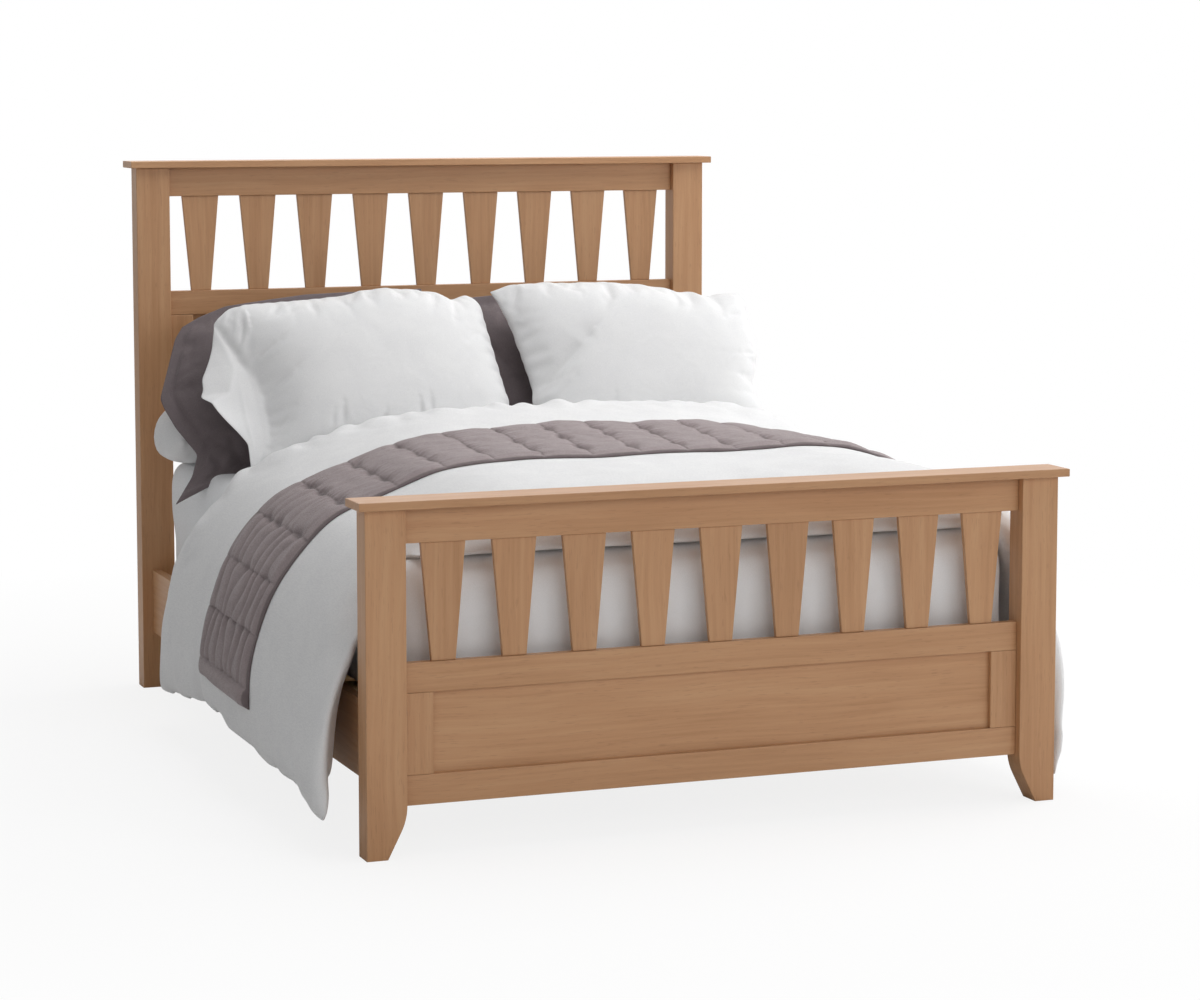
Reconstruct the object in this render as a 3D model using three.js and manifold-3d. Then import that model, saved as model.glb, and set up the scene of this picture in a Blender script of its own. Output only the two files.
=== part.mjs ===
// A slatted wooden double bed, dressed, in millimetres: x across, y from foot to head, z up.
// Each end board is a frame of two posts and three rails, with tapered slats above a flat panel.
import * as THREE from 'three';
import { mergeVertices } from 'three/addons/utils/BufferGeometryUtils.js';
import Module from 'manifold-3d';

const wasm = await Module();
wasm.setup();

// The bed as a whole
const bedWidth = 1640;
const insideLength = 2020;
const footboardHeight = 766;
const headboardHeight = 1426;
const fit = 0.3;
const arris = 1.5;
const lap = 2;
const cutterLap = 1;

// Posts
const postWidth = 90;
const postDepth = 60;
const postStubWidth = 50;
const postStubDepth = 30;
const postStubHeight = 10;
const sweepTop = 115;
const sweepRadius = 125;
const sweepAngle = THREE.MathUtils.degToRad(27);

// Cap, rails and panel frame of an end board
const capThickness = 18;
const capSideOverhang = 18;
const capFaceOverhang = 20;
const railThickness = 22;
const railRecess = 20;
const topRailHeight = 77;
const midRailHeight = 65;
const bottomRailHeight = 65;
const panelHeight = 177;
const panelStileWidth = 65;
const panelThickness = 6;
const panelRecess = 12;
const grooveDepth = 8;
const railTenonLength = 30;
const railTenonThickness = 8;
const railTenonShoulder = 12;

// Tapered slats of an end board
const slatCount = 9;
const slatLength = 255;
const slatTopWidth = 100;
const slatBottomWidth = 54;
const slatThickness = 12;
const slatRecess = 5;
const slatEndGap = 40;
const slatTenonLength = 10;
const slatTenonThickness = 8;
const slatTenonShoulder = 9;

// Side rails, their ledges, dowels and steel corner brackets
const sideRailInset = 28;
const sideRailThickness = 25;
const sideRailHeight = 170;
const sideRailBottom = 152;
const dowelRadius = 5;
const dowelLength = 20;
const dowelEdge = 25;
const ledgeSize = 30;
const ledgeDrop = 33;
const ledgeEndGap = 8;
const bracketHeight = 88;
const bracketBottom = 164;
const bracketRailLeg = 60;
const bracketPostLeg = 34;
const bracketThickness = 3;
const bracketEdge = 0.5;
const bracketHoleRadius = 3;
const bracketHoleEdge = 16;

// Cross rails, centre rail and its legs
const footCrossThickness = 17.5;
const headCrossThickness = 25;
const crossRailHeight = 90;
const centreRailWidth = 45;
const centreRailHeight = 60;
const centreLegWidth = 50;
const centreLegSpacing = 700;
const legSpigotRadius = 10;
const legSpigotLength = 25;

// Loose slat base: boards on two tapes
const baseSlatCount = 15;
const baseSlatWidth = 70;
const baseSlatThickness = 18;
const baseSlatSideGap = 4;
const baseSlatEndGap = 20;
const tapeWidth = 38;
const tapeSpacing = 900;
const tapeThickness = 1.5;
const tapeSink = 0.5;

// Mattress
const mattressWidth = 1500;
const mattressLength = 2000;
const mattressHeight = 330;
const mattressCorner = 90;
const mattressEdge = 90;
const mattressCrown = 9;
const mattressWaist = 6;
const mattressTightCorner = 12;
const mattressSides = 40;
const mattressEdgeSteps = 3;

// Duvet: how far it lies along the bed, its height and reach, and its soft edges
const duvetFoot = 72;
const duvetHead = 1480;
const duvetHeadSlant = 105;
const duvetCrown = 775;
const duvetReach = 905;
const duvetHem = 110;
const duvetFoldDepth = 10;
const duvetFoldLength = 460;
const duvetLining = 3;
const duvetFootRoll = 170;
const duvetHeadRoll = 60;
const duvetFootFill = 0.32;
const duvetFootFlare = { left: 100, right: 65 };
const duvetFlareTop = 1.2;
const duvetFootDrop = 24;
const duvetFootDropLength = 100;
const duvetHemTuck = { left: 0, right: 40 };
const duvetHeadFill = 0.62;
const duvetKnee = 60;
const duvetHemSide = 100;
const duvetHemTurn = 8;

// Its outline on each side of the bed: half-breadths, and drops below the crown
const duvetOutlines = {
  runnerFoot: {
    left: [[300, 26], [460, 42], [600, 95], [705, 134], [780, 206], [850, 312], [888, 440]],
    right: [[300, 26], [460, 18], [620, 40], [760, 90], [850, 185], [892, 350]],
  },
  runnerHead: {
    left: [[280, 10], [430, 39], [560, 78], [705, 134], [790, 214], [860, 345]],
    right: [[280, 6], [430, 17], [600, 46], [770, 78], [855, 122], [900, 250]],
  },
  head: {
    left: [[270, -28], [430, 0], [580, 48], [720, 118], [830, 245], [892, 410]],
    right: [[280, -37], [430, -34], [600, -22], [740, 12], [845, 104], [900, 280]],
  },
};
const duvetFootCrown = 750;
const duvetHeadCrown = 812;

// Its lining: distances beyond the mattress's side and drops below its top, then beyond the side rail
const duvetLiningTop = [[-300, 1], [-130, 6], [-30, 28], [10, 85], [44, 190]];
const duvetLiningSide = [[36, 200], [54, 90], [76, 0]];

// Its hem: distances from the foot end, and how far it rises there
const duvetHemRises = {
  left: [[0, -27], [200, 10], [480, 38], [750, 42], [1150, 22]],
  right: [[0, -60], [200, -18], [480, 14], [750, 34], [1150, 22]],
};
const duvetHemHeadRise = -10;

// Runner across the duvet, and its sewn channels
const runnerFoot = 610;
const runnerHead = 1070;
const runnerPuff = 17;
const runnerStitch = 6;
const runnerLift = 0.5;
const runnerEndRow = 1;
const runnerEdgeShare = 0.6;

// Pillows: the pair in front, the flanged pair behind them and the pair lying flat
const pillowEdge = 10;
const pillowFullness = 2.4;
const frontPillow = {
  width: 705, height: 480, thickness: 178, flange: 0, pinch: -0.05, bow: 0.04, slant: 45, fullness: 2.4, lean: 62,
};
const greyPillow = {
  width: 745, height: 480, thickness: 92, flange: 35, pinch: -0.04, bow: 0.03, slant: 15, fullness: 2.4, lean: 58,
};
const backPillow = {
  width: 735, height: 285, thickness: 172, flange: 0, pinch: -0.03, bow: 0, slant: 0, fullness: 6, lean: 0,
};
const frontStand = { shift: 55, apart: 385, fromHead: 430.4, above: 213, sag: 0 };
const greyStand = { shift: -25, apart: 392, fromHead: 271.9, above: 215.5, sag: 4.5 };
const backStand = { shift: -30, apart: 384, fromHead: 150, above: 79.4, sag: 0 };

// Sizes that follow from those above
const halfBed = bedWidth / 2;
const halfInside = halfBed - postWidth;
const headY = postDepth + insideLength;
const overallLength = headY + postDepth;
const sideRailOuter = halfBed - sideRailInset;
const sideRailInner = sideRailOuter - sideRailThickness;
const ledgeTop = sideRailBottom + sideRailHeight - ledgeDrop;
const baseTop = ledgeTop + fit + baseSlatThickness;
const mattressBottom = baseTop + fit;
const mattressTop = mattressBottom + mattressHeight;
const mattressFoot = postDepth + (insideLength - mattressLength) / 2;

// Finishes
const oak = new THREE.MeshStandardMaterial({ color: 0xa97f5e, roughness: 0.6 });
const pine = new THREE.MeshStandardMaterial({ color: 0xcbb28a, roughness: 0.75 });
const steel = new THREE.MeshStandardMaterial({ color: 0x9a9c9e, roughness: 0.4, metalness: 0.9 });
const ticking = new THREE.MeshStandardMaterial({ color: 0xe4e2de, roughness: 0.95 });
const cotton = new THREE.MeshStandardMaterial({ color: 0xf0f0f0, roughness: 0.9 });
const quilting = new THREE.MeshStandardMaterial({ color: 0x8f8382, roughness: 0.85 });
const linen = new THREE.MeshStandardMaterial({ color: 0x665b5c, roughness: 0.9 });

// Solids: geometry to a joinable solid and back
function toSolid(geometry) {
  const bare = geometry.clone();
  bare.deleteAttribute('normal');
  bare.deleteAttribute('uv');
  const merged = mergeVertices(bare);
  const vertProperties = new Float32Array(merged.attributes.position.array);
  const triVerts = new Uint32Array(merged.index.array);
  return new wasm.Manifold(new wasm.Mesh({ numProp: 3, vertProperties, triVerts }));
}

function toMesh(name, solid, material) {
  const { vertProperties, triVerts } = solid.getMesh();
  const geometry = new THREE.BufferGeometry();
  geometry.setAttribute('position', new THREE.BufferAttribute(vertProperties, 3));
  geometry.setIndex(new THREE.BufferAttribute(triVerts, 1));
  geometry.computeVertexNormals();
  const mesh = new THREE.Mesh(geometry, material);
  mesh.name = name;
  return mesh;
}

function box(low, high) {
  const size = low.map((value, axis) => high[axis] - value);
  const geometry = new THREE.BoxGeometry(...size);
  geometry.translate(...low.map((value, axis) => value + size[axis] / 2));
  return toSolid(geometry);
}

function cylinder(radius, length, sides = 8) {
  return new THREE.CylinderGeometry(radius, radius, length, sides);
}

// A timber with softened long edges: an outline extruded along one axis.
// The outline's two coordinates are the axes that follow: y then z for x, z then x for y.
const bases = {
  x: [new THREE.Vector3(0, 1, 0), new THREE.Vector3(0, 0, 1), new THREE.Vector3(1, 0, 0)],
  y: [new THREE.Vector3(0, 0, 1), new THREE.Vector3(1, 0, 0), new THREE.Vector3(0, 1, 0)],
  z: [new THREE.Vector3(1, 0, 0), new THREE.Vector3(0, 1, 0), new THREE.Vector3(0, 0, 1)],
};

function timber(points, along, start, end, edge = arris, edgeSteps = 2) {
  const shape = new THREE.Shape(points.map(([a, b]) => new THREE.Vector2(a, b)));
  const geometry = new THREE.ExtrudeGeometry(shape, {
    depth: end - start - 2 * edge,
    bevelThickness: edge,
    bevelSize: edge,
    bevelOffset: -edge,
    bevelSegments: edgeSteps,
    steps: 1,
  });
  geometry.translate(0, 0, start + edge);
  geometry.applyMatrix4(new THREE.Matrix4().makeBasis(...bases[along]));
  return toSolid(geometry);
}

function bar(low, high, along, edgeSteps = 2) {
  const order = { x: [1, 2, 0], y: [2, 0, 1], z: [0, 1, 2] }[along];
  const [a, b, c] = order;
  const outline = [[low[a], low[b]], [high[a], low[b]], [high[a], high[b]], [low[a], high[b]]];
  return timber(outline, along, low[c], high[c], arris, edgeSteps);
}

// The same box grown by the fit on every side, to cut its mortise
function mortise(low, high) {
  return box(low.map((value) => value - fit), high.map((value) => value + fit));
}

// Heights of an end board's members, from the top down
function boardLevels(height) {
  const capBottom = height - capThickness;
  const topBottom = capBottom - topRailHeight;
  const midTop = topBottom - slatLength;
  const midBottom = midTop - midRailHeight;
  const panelBottom = midBottom - panelHeight;
  return { capBottom, topBottom, midTop, midBottom, panelBottom, bottom: panelBottom - bottomRailHeight };
}

// A post's outline in height and breadth: straight, or swept outwards at the foot
function postOutline(side, top, swept) {
  const outer = side * halfBed;
  const inner = side * halfInside;
  const foot = [[0, inner]];
  if (swept) {
    const steps = 6;
    foot.length = 0;
    for (let step = 0; step <= steps; step += 1) {
      const turn = (sweepAngle * step) / steps;
      const height = sweepTop - sweepRadius * Math.sin(turn);
      foot.push([height, inner + side * sweepRadius * (1 - Math.cos(turn))]);
    }
    const [height, breadth] = foot[steps];
    foot.push([0, breadth + side * height * Math.tan(sweepAngle)]);
  }
  return [[0, outer], [top, outer], [top, inner], ...foot];
}

// Tenon of a rail at one end, as a box
function railTenon(side, bottom, top, face) {
  const start = side * halfInside;
  const end = start + side * railTenonLength;
  const cheek = face + (railThickness - railTenonThickness) / 2;
  const low = [Math.min(start, end), cheek, bottom + railTenonShoulder];
  const high = [Math.max(start, end), cheek + railTenonThickness, top - railTenonShoulder];
  return { low, high };
}

// Places of the tapered slats, from left to right
function slatPlaces() {
  const span = 2 * (halfInside - slatEndGap) - slatTopWidth;
  const pitch = span / (slatCount - 1);
  return Array.from({ length: slatCount }, (_, index) => index * pitch - span / 2);
}

function slatTenon(centre, width, start, end) {
  const half = width / 2 - slatTenonShoulder;
  const cheek = railRecess + slatRecess + (slatThickness - slatTenonThickness) / 2;
  return {
    low: [centre - half, cheek, Math.min(start, end)],
    high: [centre + half, cheek + slatTenonThickness, Math.max(start, end)],
  };
}

// Side rail dowels at one end: their heights
const dowelHeights = [sideRailBottom + dowelEdge, sideRailBottom + sideRailHeight - dowelEdge];

function dowel(side, y, height, radius, length) {
  const geometry = cylinder(radius, length);
  geometry.translate(side * (sideRailOuter - sideRailThickness / 2), y, height);
  return toSolid(geometry);
}

// An end board, with its front face towards the foot: posts, cap, rails, slats and panel
function endBoard(prefix, height, swept, crossFront, crossThickness, innerFace, y) {
  const group = new THREE.Group();
  group.position.y = y;
  const levels = boardLevels(height);
  const postTop = levels.capBottom - fit;
  const places = slatPlaces();
  const crossTop = ledgeTop;
  const crossBottom = crossTop - crossRailHeight;
  const rails = [
    ['top_rail', levels.topBottom, levels.capBottom - fit],
    ['mid_rail', levels.midBottom, levels.midTop],
    ['bottom_rail', levels.bottom, levels.panelBottom],
  ];

  for (const [side, label] of [[-1, 'left'], [1, 'right']]) {
    let post = timber(postOutline(side, postTop, swept), 'y', 0, postDepth);
    for (const [, bottom, top] of rails) {
      const tenon = railTenon(side, bottom, top, railRecess);
      post = post.subtract(mortise(tenon.low, tenon.high));
    }
    const crossFace = crossFront + (crossThickness - railThickness) / 2;
    const crossTenon = railTenon(side, crossBottom, crossTop, crossFace);
    post = post.subtract(mortise(crossTenon.low, crossTenon.high));
    for (const level of dowelHeights) {
      post = post.subtract(dowel(side, innerFace - y, level, dowelRadius + fit, 2 * (dowelLength + fit)));
    }
    const stubX = side * (halfBed - postWidth / 2);
    const stub = box(
      [stubX - postStubWidth / 2, (postDepth - postStubDepth) / 2, postTop - cutterLap],
      [stubX + postStubWidth / 2, (postDepth + postStubDepth) / 2, postTop + postStubHeight],
    );
    group.add(toMesh(`${prefix}_post_${label}`, post.add(stub), oak));
  }

  const capHalf = halfBed + capSideOverhang;
  let cap = bar(
    [-capHalf, -capFaceOverhang, levels.capBottom],
    [capHalf, postDepth + capFaceOverhang, height],
    'z',
  );
  for (const side of [-1, 1]) {
    const stubX = side * (halfBed - postWidth / 2);
    cap = cap.subtract(mortise(
      [stubX - postStubWidth / 2, (postDepth - postStubDepth) / 2, levels.capBottom - fit],
      [stubX + postStubWidth / 2, (postDepth + postStubDepth) / 2, postTop + postStubHeight],
    ));
  }
  group.add(toMesh(`${prefix}_cap`, cap, oak));

  const grooveFront = railRecess + panelRecess;
  const grooveBack = grooveFront + panelThickness;
  const panelHalf = halfInside - panelStileWidth;
  for (const [name, bottom, top] of rails) {
    let rail = bar(
      [-halfInside + fit, railRecess, bottom],
      [halfInside - fit, railRecess + railThickness, top],
      'y',
    );
    for (const side of [-1, 1]) {
      const tenon = railTenon(side, bottom, top, railRecess);
      const root = side > 0 ? tenon.low : tenon.high;
      root[0] -= side * lap;
      rail = rail.add(box(tenon.low, tenon.high));
    }
    if (name === 'top_rail') {
      for (const centre of places) {
        const tenon = slatTenon(centre, slatTopWidth, bottom - cutterLap, bottom + slatTenonLength);
        rail = rail.subtract(mortise(tenon.low, tenon.high));
      }
    }
    if (name === 'mid_rail') {
      for (const centre of places) {
        const tenon = slatTenon(centre, slatBottomWidth, top + cutterLap, top - slatTenonLength);
        rail = rail.subtract(mortise(tenon.low, tenon.high));
      }
    }
    if (name !== 'top_rail') {
      const open = name === 'mid_rail' ? bottom : top;
      const depth = name === 'mid_rail' ? grooveDepth : -grooveDepth;
      rail = rail.subtract(mortise(
        [-halfInside - fit, grooveFront, Math.min(open - Math.sign(depth), open + depth)],
        [halfInside + fit, grooveBack, Math.max(open - Math.sign(depth), open + depth)],
      ));
    }
    group.add(toMesh(`${prefix}_${name}`, rail, oak));
  }

  places.forEach((centre, index) => {
    const top = levels.topBottom - fit;
    const bottom = levels.midTop + fit;
    const outline = [
      [bottom, centre - slatBottomWidth / 2],
      [bottom, centre + slatBottomWidth / 2],
      [top, centre + slatTopWidth / 2],
      [top, centre - slatTopWidth / 2],
    ];
    const face = railRecess + slatRecess;
    const upper = slatTenon(centre, slatTopWidth, top - lap, levels.topBottom + slatTenonLength);
    const lower = slatTenon(centre, slatBottomWidth, bottom + lap, levels.midTop - slatTenonLength);
    const slat = timber(outline, 'y', face, face + slatThickness, 1)
      .add(box(upper.low, upper.high))
      .add(box(lower.low, lower.high));
    group.add(toMesh(`${prefix}_slat_${index + 1}`, slat, oak));
  });

  for (const [side, label] of [[-1, 'left'], [1, 'right']]) {
    const outer = side * (halfInside - fit);
    const inner = side * panelHalf;
    const low = [Math.min(outer, inner), railRecess, levels.panelBottom + fit];
    const high = [Math.max(outer, inner), railRecess + railThickness, levels.midBottom - fit];
    const tongueLow = [low[0] + railTenonShoulder, grooveFront, low[2] - grooveDepth + fit];
    const tongueHigh = [high[0] - railTenonShoulder, grooveBack, high[2] + grooveDepth - fit];
    const stile = bar(low, high, 'y')
      .add(box(tongueLow, tongueHigh))
      .subtract(mortise(
        [Math.min(inner - side, inner + side * grooveDepth), grooveFront, low[2] - grooveDepth - lap],
        [Math.max(inner - side, inner + side * grooveDepth), grooveBack, high[2] + grooveDepth + lap],
      ));
    group.add(toMesh(`${prefix}_panel_stile_${label}`, stile, oak));
  }

  const panel = box(
    [-panelHalf - grooveDepth, grooveFront, levels.panelBottom - grooveDepth],
    [panelHalf + grooveDepth, grooveBack, levels.midBottom + grooveDepth],
  );
  group.add(toMesh(`${prefix}_panel`, panel, oak));

  let cross = bar(
    [-halfInside + fit, crossFront, crossBottom],
    [halfInside - fit, crossFront + crossThickness, crossTop],
    'y',
    1,
  );
  for (const side of [-1, 1]) {
    const face = crossFront + (crossThickness - railThickness) / 2;
    const tenon = railTenon(side, crossBottom, crossTop, face);
    const root = side > 0 ? tenon.low : tenon.high;
    root[0] -= side * lap;
    cross = cross.add(box(tenon.low, tenon.high));
  }
  cross = cross.subtract(mortise(
    [-centreRailWidth / 2, crossFront - cutterLap, crossTop - centreRailHeight],
    [centreRailWidth / 2, crossFront + crossThickness + cutterLap, crossTop + cutterLap],
  ));
  group.add(toMesh(`${prefix}_cross_rail`, cross, pine));
  return group;
}

// Side rails with their dowels, ledges and corner brackets
function sideRails() {
  const group = new THREE.Group();
  const start = postDepth + fit;
  const end = headY - fit;
  for (const [side, label] of [[-1, 'left'], [1, 'right']]) {
    const faces = [side * sideRailOuter, side * sideRailInner].sort((a, b) => a - b);
    let rail = bar(
      [faces[0], start, sideRailBottom],
      [faces[1], end, sideRailBottom + sideRailHeight],
      'x',
    );
    for (const y of [start, end]) {
      for (const level of dowelHeights) {
        rail = rail.add(dowel(side, y, level, dowelRadius, 2 * dowelLength - 2 * fit));
      }
    }
    group.add(toMesh(`side_rail_${label}`, rail, oak));

    const ledgeFaces = [side * (sideRailInner - fit), side * (sideRailInner - fit - ledgeSize)];
    const ledge = bar(
      [Math.min(...ledgeFaces), start + ledgeEndGap, ledgeTop - ledgeSize],
      [Math.max(...ledgeFaces), end - ledgeEndGap, ledgeTop],
      'x',
      1,
    );
    group.add(toMesh(`side_ledge_${label}`, ledge, pine));
  }
  return group;
}

// A steel angle in the corner between a side rail and a post, with two holes in each leg
function cornerBracket(side, end) {
  const x = side * (sideRailInner - fit);
  const y = end > 0 ? headY - fit : postDepth + fit;
  const into = -end;
  const corner = (dx, dy) => [x - side * dx, y + into * dy];
  const outline = [
    corner(0, 0), corner(bracketPostLeg, 0), corner(bracketPostLeg, bracketThickness),
    corner(bracketThickness, bracketThickness), corner(bracketThickness, bracketRailLeg),
    corner(0, bracketRailLeg),
  ];
  let angle = timber(outline, 'z', bracketBottom, bracketBottom + bracketHeight, bracketEdge, 1);
  for (const level of [bracketHoleEdge, bracketHeight - bracketHoleEdge]) {
    const postHole = cylinder(bracketHoleRadius, 2 * (bracketThickness + cutterLap));
    const railHole = cylinder(bracketHoleRadius, 2 * (bracketThickness + cutterLap));
    railHole.rotateZ(Math.PI / 2);
    const [postX] = corner(bracketPostLeg - bracketHoleEdge + bracketThickness, 0);
    const [, railY] = corner(0, bracketRailLeg - bracketHoleEdge);
    postHole.translate(postX, y, bracketBottom + level);
    railHole.translate(x, railY, bracketBottom + level);
    angle = angle.subtract(toSolid(postHole)).subtract(toSolid(railHole));
  }
  return angle;
}

function cornerBrackets() {
  const group = new THREE.Group();
  for (const [end, place] of [[-1, 'foot'], [1, 'head']]) {
    for (const [side, label] of [[-1, 'left'], [1, 'right']]) {
      group.add(toMesh(`rail_bracket_${place}_${label}`, cornerBracket(side, end), steel));
    }
  }
  return group;
}

// Centre rail on two legs, with its ends housed in the two cross rails
function centreSupport(footCrossFront) {
  const group = new THREE.Group();
  const top = ledgeTop;
  const bottom = top - centreRailHeight;
  let rail = bar(
    [-centreRailWidth / 2, footCrossFront + fit, bottom],
    [centreRailWidth / 2, headY + headCrossThickness - fit, top],
    'x',
    1,
  );
  for (const [end, label] of [[-1, 'foot'], [1, 'head']]) {
    const y = overallLength / 2 + (end * centreLegSpacing) / 2;
    const hole = cylinder(legSpigotRadius + fit, 2 * (legSpigotLength + fit));
    const spigot = cylinder(legSpigotRadius, 2 * legSpigotLength);
    for (const round of [hole, spigot]) {
      round.rotateX(Math.PI / 2);
      round.translate(0, y, bottom);
    }
    rail = rail.subtract(toSolid(hole));
    const half = centreLegWidth / 2;
    const leg = bar([-half, y - half, 0], [half, y + half, bottom - fit], 'z', 1);
    group.add(toMesh(`centre_leg_${label}`, leg.add(toSolid(spigot)), pine));
  }
  group.add(toMesh('centre_rail', rail, pine));
  return group;
}

// Base boards tied by two tapes stapled under them, which roll up as one piece
function slatBase() {
  const start = postDepth + baseSlatEndGap;
  const span = insideLength - 2 * baseSlatEndGap - baseSlatWidth;
  const pitch = span / (baseSlatCount - 1);
  const half = sideRailInner - baseSlatSideGap;
  const bottom = ledgeTop + fit;
  const pieces = [];
  for (let index = 0; index < baseSlatCount; index += 1) {
    const y = start + index * pitch;
    const top = bottom + baseSlatThickness;
    pieces.push(bar([-half, y, bottom], [half, y + baseSlatWidth, top], 'z', 1));
  }
  for (const side of [-1, 1]) {
    const x = (side * tapeSpacing) / 2;
    pieces.push(box(
      [x - tapeWidth / 2, start + lap, bottom - tapeThickness],
      [x + tapeWidth / 2, start + span + baseSlatWidth - lap, bottom + tapeSink],
    ));
  }
  return toMesh('slat_base', wasm.Manifold.union(pieces), pine);
}

// Soft forms: two grids of points, outer and inner, closed round their border
function quilt(outer, inner) {
  const rows = outer.length;
  const columns = outer[0].length;
  const points = [...outer.flat(), ...inner.flat()];
  const index = (row, column, layer) => layer * rows * columns + row * columns + column;
  const triangles = [];
  for (let row = 0; row < rows - 1; row += 1) {
    for (let column = 0; column < columns - 1; column += 1) {
      for (const layer of [0, 1]) {
        const a = index(row, column, layer);
        const b = index(row + 1, column, layer);
        const c = index(row + 1, column + 1, layer);
        const d = index(row, column + 1, layer);
        triangles.push(...(layer ? [a, c, b, a, d, c] : [a, b, c, a, c, d]));
      }
    }
  }
  const border = [];
  for (let row = 0; row < rows - 1; row += 1) border.push([row, 0]);
  for (let column = 0; column < columns - 1; column += 1) border.push([rows - 1, column]);
  for (let row = rows - 1; row > 0; row -= 1) border.push([row, columns - 1]);
  for (let column = columns - 1; column > 0; column -= 1) border.push([0, column]);
  border.forEach(([row, column], place) => {
    const [nextRow, nextColumn] = border[(place + 1) % border.length];
    const a = index(row, column, 0);
    const b = index(nextRow, nextColumn, 0);
    const c = index(nextRow, nextColumn, 1);
    const d = index(row, column, 1);
    triangles.push(a, d, c, a, c, b);
  });
  const geometry = new THREE.BufferGeometry();
  const positions = points.flatMap((point) => [point.x, point.y, point.z]);
  geometry.setAttribute('position', new THREE.Float32BufferAttribute(positions, 3));
  geometry.setIndex(triangles);
  geometry.computeVertexNormals();
  return geometry;
}

function softMesh(name, geometry, material) {
  const mesh = new THREE.Mesh(geometry, material);
  mesh.name = name;
  return mesh;
}

// Mattress: rounded rings from the flat underside, up the drawn-in side, to a low crown
function mattress() {
  const sides = mattressSides;
  const rings = [];
  const ring = (inset, height) => {
    const corner = Math.max(mattressCorner - inset, mattressTightCorner);
    const half = new THREE.Vector2(mattressWidth / 2 - inset, mattressLength / 2 - inset);
    const points = [];
    for (let step = 0; step < sides; step += 1) {
      const quarter = Math.floor((step * 4) / sides);
      const turn = ((quarter + ((step * 4) / sides - quarter) * (sides / (sides - 4))) * Math.PI) / 2;
      const sx = quarter === 0 || quarter === 3 ? 1 : -1;
      const sy = quarter < 2 ? 1 : -1;
      const x = sx * (half.x - corner) + corner * Math.cos(turn);
      const y = sy * (half.y - corner) + corner * Math.sin(turn);
      points.push(new THREE.Vector3(x, y, height));
    }
    rings.push(points);
  };
  const top = mattressHeight - mattressCrown;
  for (let step = 0; step <= mattressEdgeSteps; step += 1) {
    const turn = (step * Math.PI) / 2 / mattressEdgeSteps;
    ring((mattressEdge / 2) * (1 - Math.sin(turn)), (mattressEdge / 2) * (1 - Math.cos(turn)));
  }
  ring(mattressWaist, mattressHeight / 2);
  for (let step = 0; step <= mattressEdgeSteps; step += 1) {
    const turn = (step * Math.PI) / 2 / mattressEdgeSteps;
    ring(mattressEdge * (1 - Math.cos(turn)), top - mattressEdge * (1 - Math.sin(turn)));
  }
  ring(mattressWidth / 5, mattressHeight - mattressCrown / 3);
  const positions = rings.flat().flatMap((point) => [point.x, point.y, point.z]);
  const triangles = [];
  for (let level = 0; level < rings.length - 1; level += 1) {
    for (let step = 0; step < sides; step += 1) {
      const next = (step + 1) % sides;
      const a = level * sides + step;
      const b = level * sides + next;
      triangles.push(a, b, b + sides, a, b + sides, a + sides);
    }
  }
  const centre = positions.length / 3;
  positions.push(0, 0, 0, 0, 0, mattressHeight);
  const last = (rings.length - 1) * sides;
  for (let step = 0; step < sides; step += 1) {
    const next = (step + 1) % sides;
    triangles.push(centre, next, step, centre + 1, last + step, last + next);
  }
  const geometry = new THREE.BufferGeometry();
  geometry.setAttribute('position', new THREE.Float32BufferAttribute(positions, 3));
  geometry.setIndex(triangles);
  geometry.computeVertexNormals();
  const mesh = softMesh('mattress', geometry, ticking);
  mesh.position.set(0, mattressFoot + mattressLength / 2, mattressBottom);
  return mesh;
}

// Duvet: at the runner's two edges and at the head its outline is a curve from the middle to the hem
const curve = (points) => new THREE.SplineCurve(points.map(([a, b]) => new THREE.Vector2(a, b)));
function duvetOutline(crown, drops) {
  return curve([
    [0, crown],
    ...drops.map(([breadth, drop]) => [breadth, duvetCrown - drop]),
    [duvetReach, duvetHem + duvetHemSide],
    [duvetReach - duvetHemTurn, duvetHem],
  ]);
}
const duvetSections = [
  [runnerFoot, duvetFootCrown, duvetOutlines.runnerFoot],
  [runnerHead, duvetCrown, duvetOutlines.runnerHead],
  [duvetHead, duvetHeadCrown, duvetOutlines.head],
].map(([y, crown, sides]) => ({
  y,
  left: duvetOutline(crown, sides.left),
  right: duvetOutline(crown, sides.right),
}));
const bedTop = mattressTop + duvetLining;
const halfMattress = mattressWidth / 2;
const duvetInner = curve([
  [0, bedTop],
  ...duvetLiningTop.map(([beyond, drop]) => [halfMattress + beyond, bedTop - drop]),
  ...duvetLiningSide.map(([beyond, rise]) => [sideRailOuter + beyond, duvetHem + rise]),
]);
const hemLine = (rises) => curve([
  ...rises.map(([along, rise]) => [duvetFoot + along, duvetHem + rise]),
  [duvetHead, duvetHem + duvetHemHeadRise],
]);
const duvetHemLines = { left: hemLine(duvetHemRises.left), right: hemLine(duvetHemRises.right) };

// Stations along the bed, with the runner's two edges among them
function eased(start, end, steps, bend) {
  return Array.from({ length: steps }, (_, step) => start + (end - start) * (step / steps) ** bend);
}
const stationCounts = { foot: 5, runner: 4, head: 4 };
const duvetStations = [
  ...eased(duvetFoot, runnerFoot, stationCounts.foot, 2),
  ...eased(runnerFoot, runnerHead, stationCounts.runner, 1),
  runnerHead,
  ...eased(duvetHead, runnerHead, stationCounts.head, 2).reverse(),
];
const runnerStations = [stationCounts.foot, stationCounts.foot + stationCounts.runner];
const duvetSteps = 21;

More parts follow.
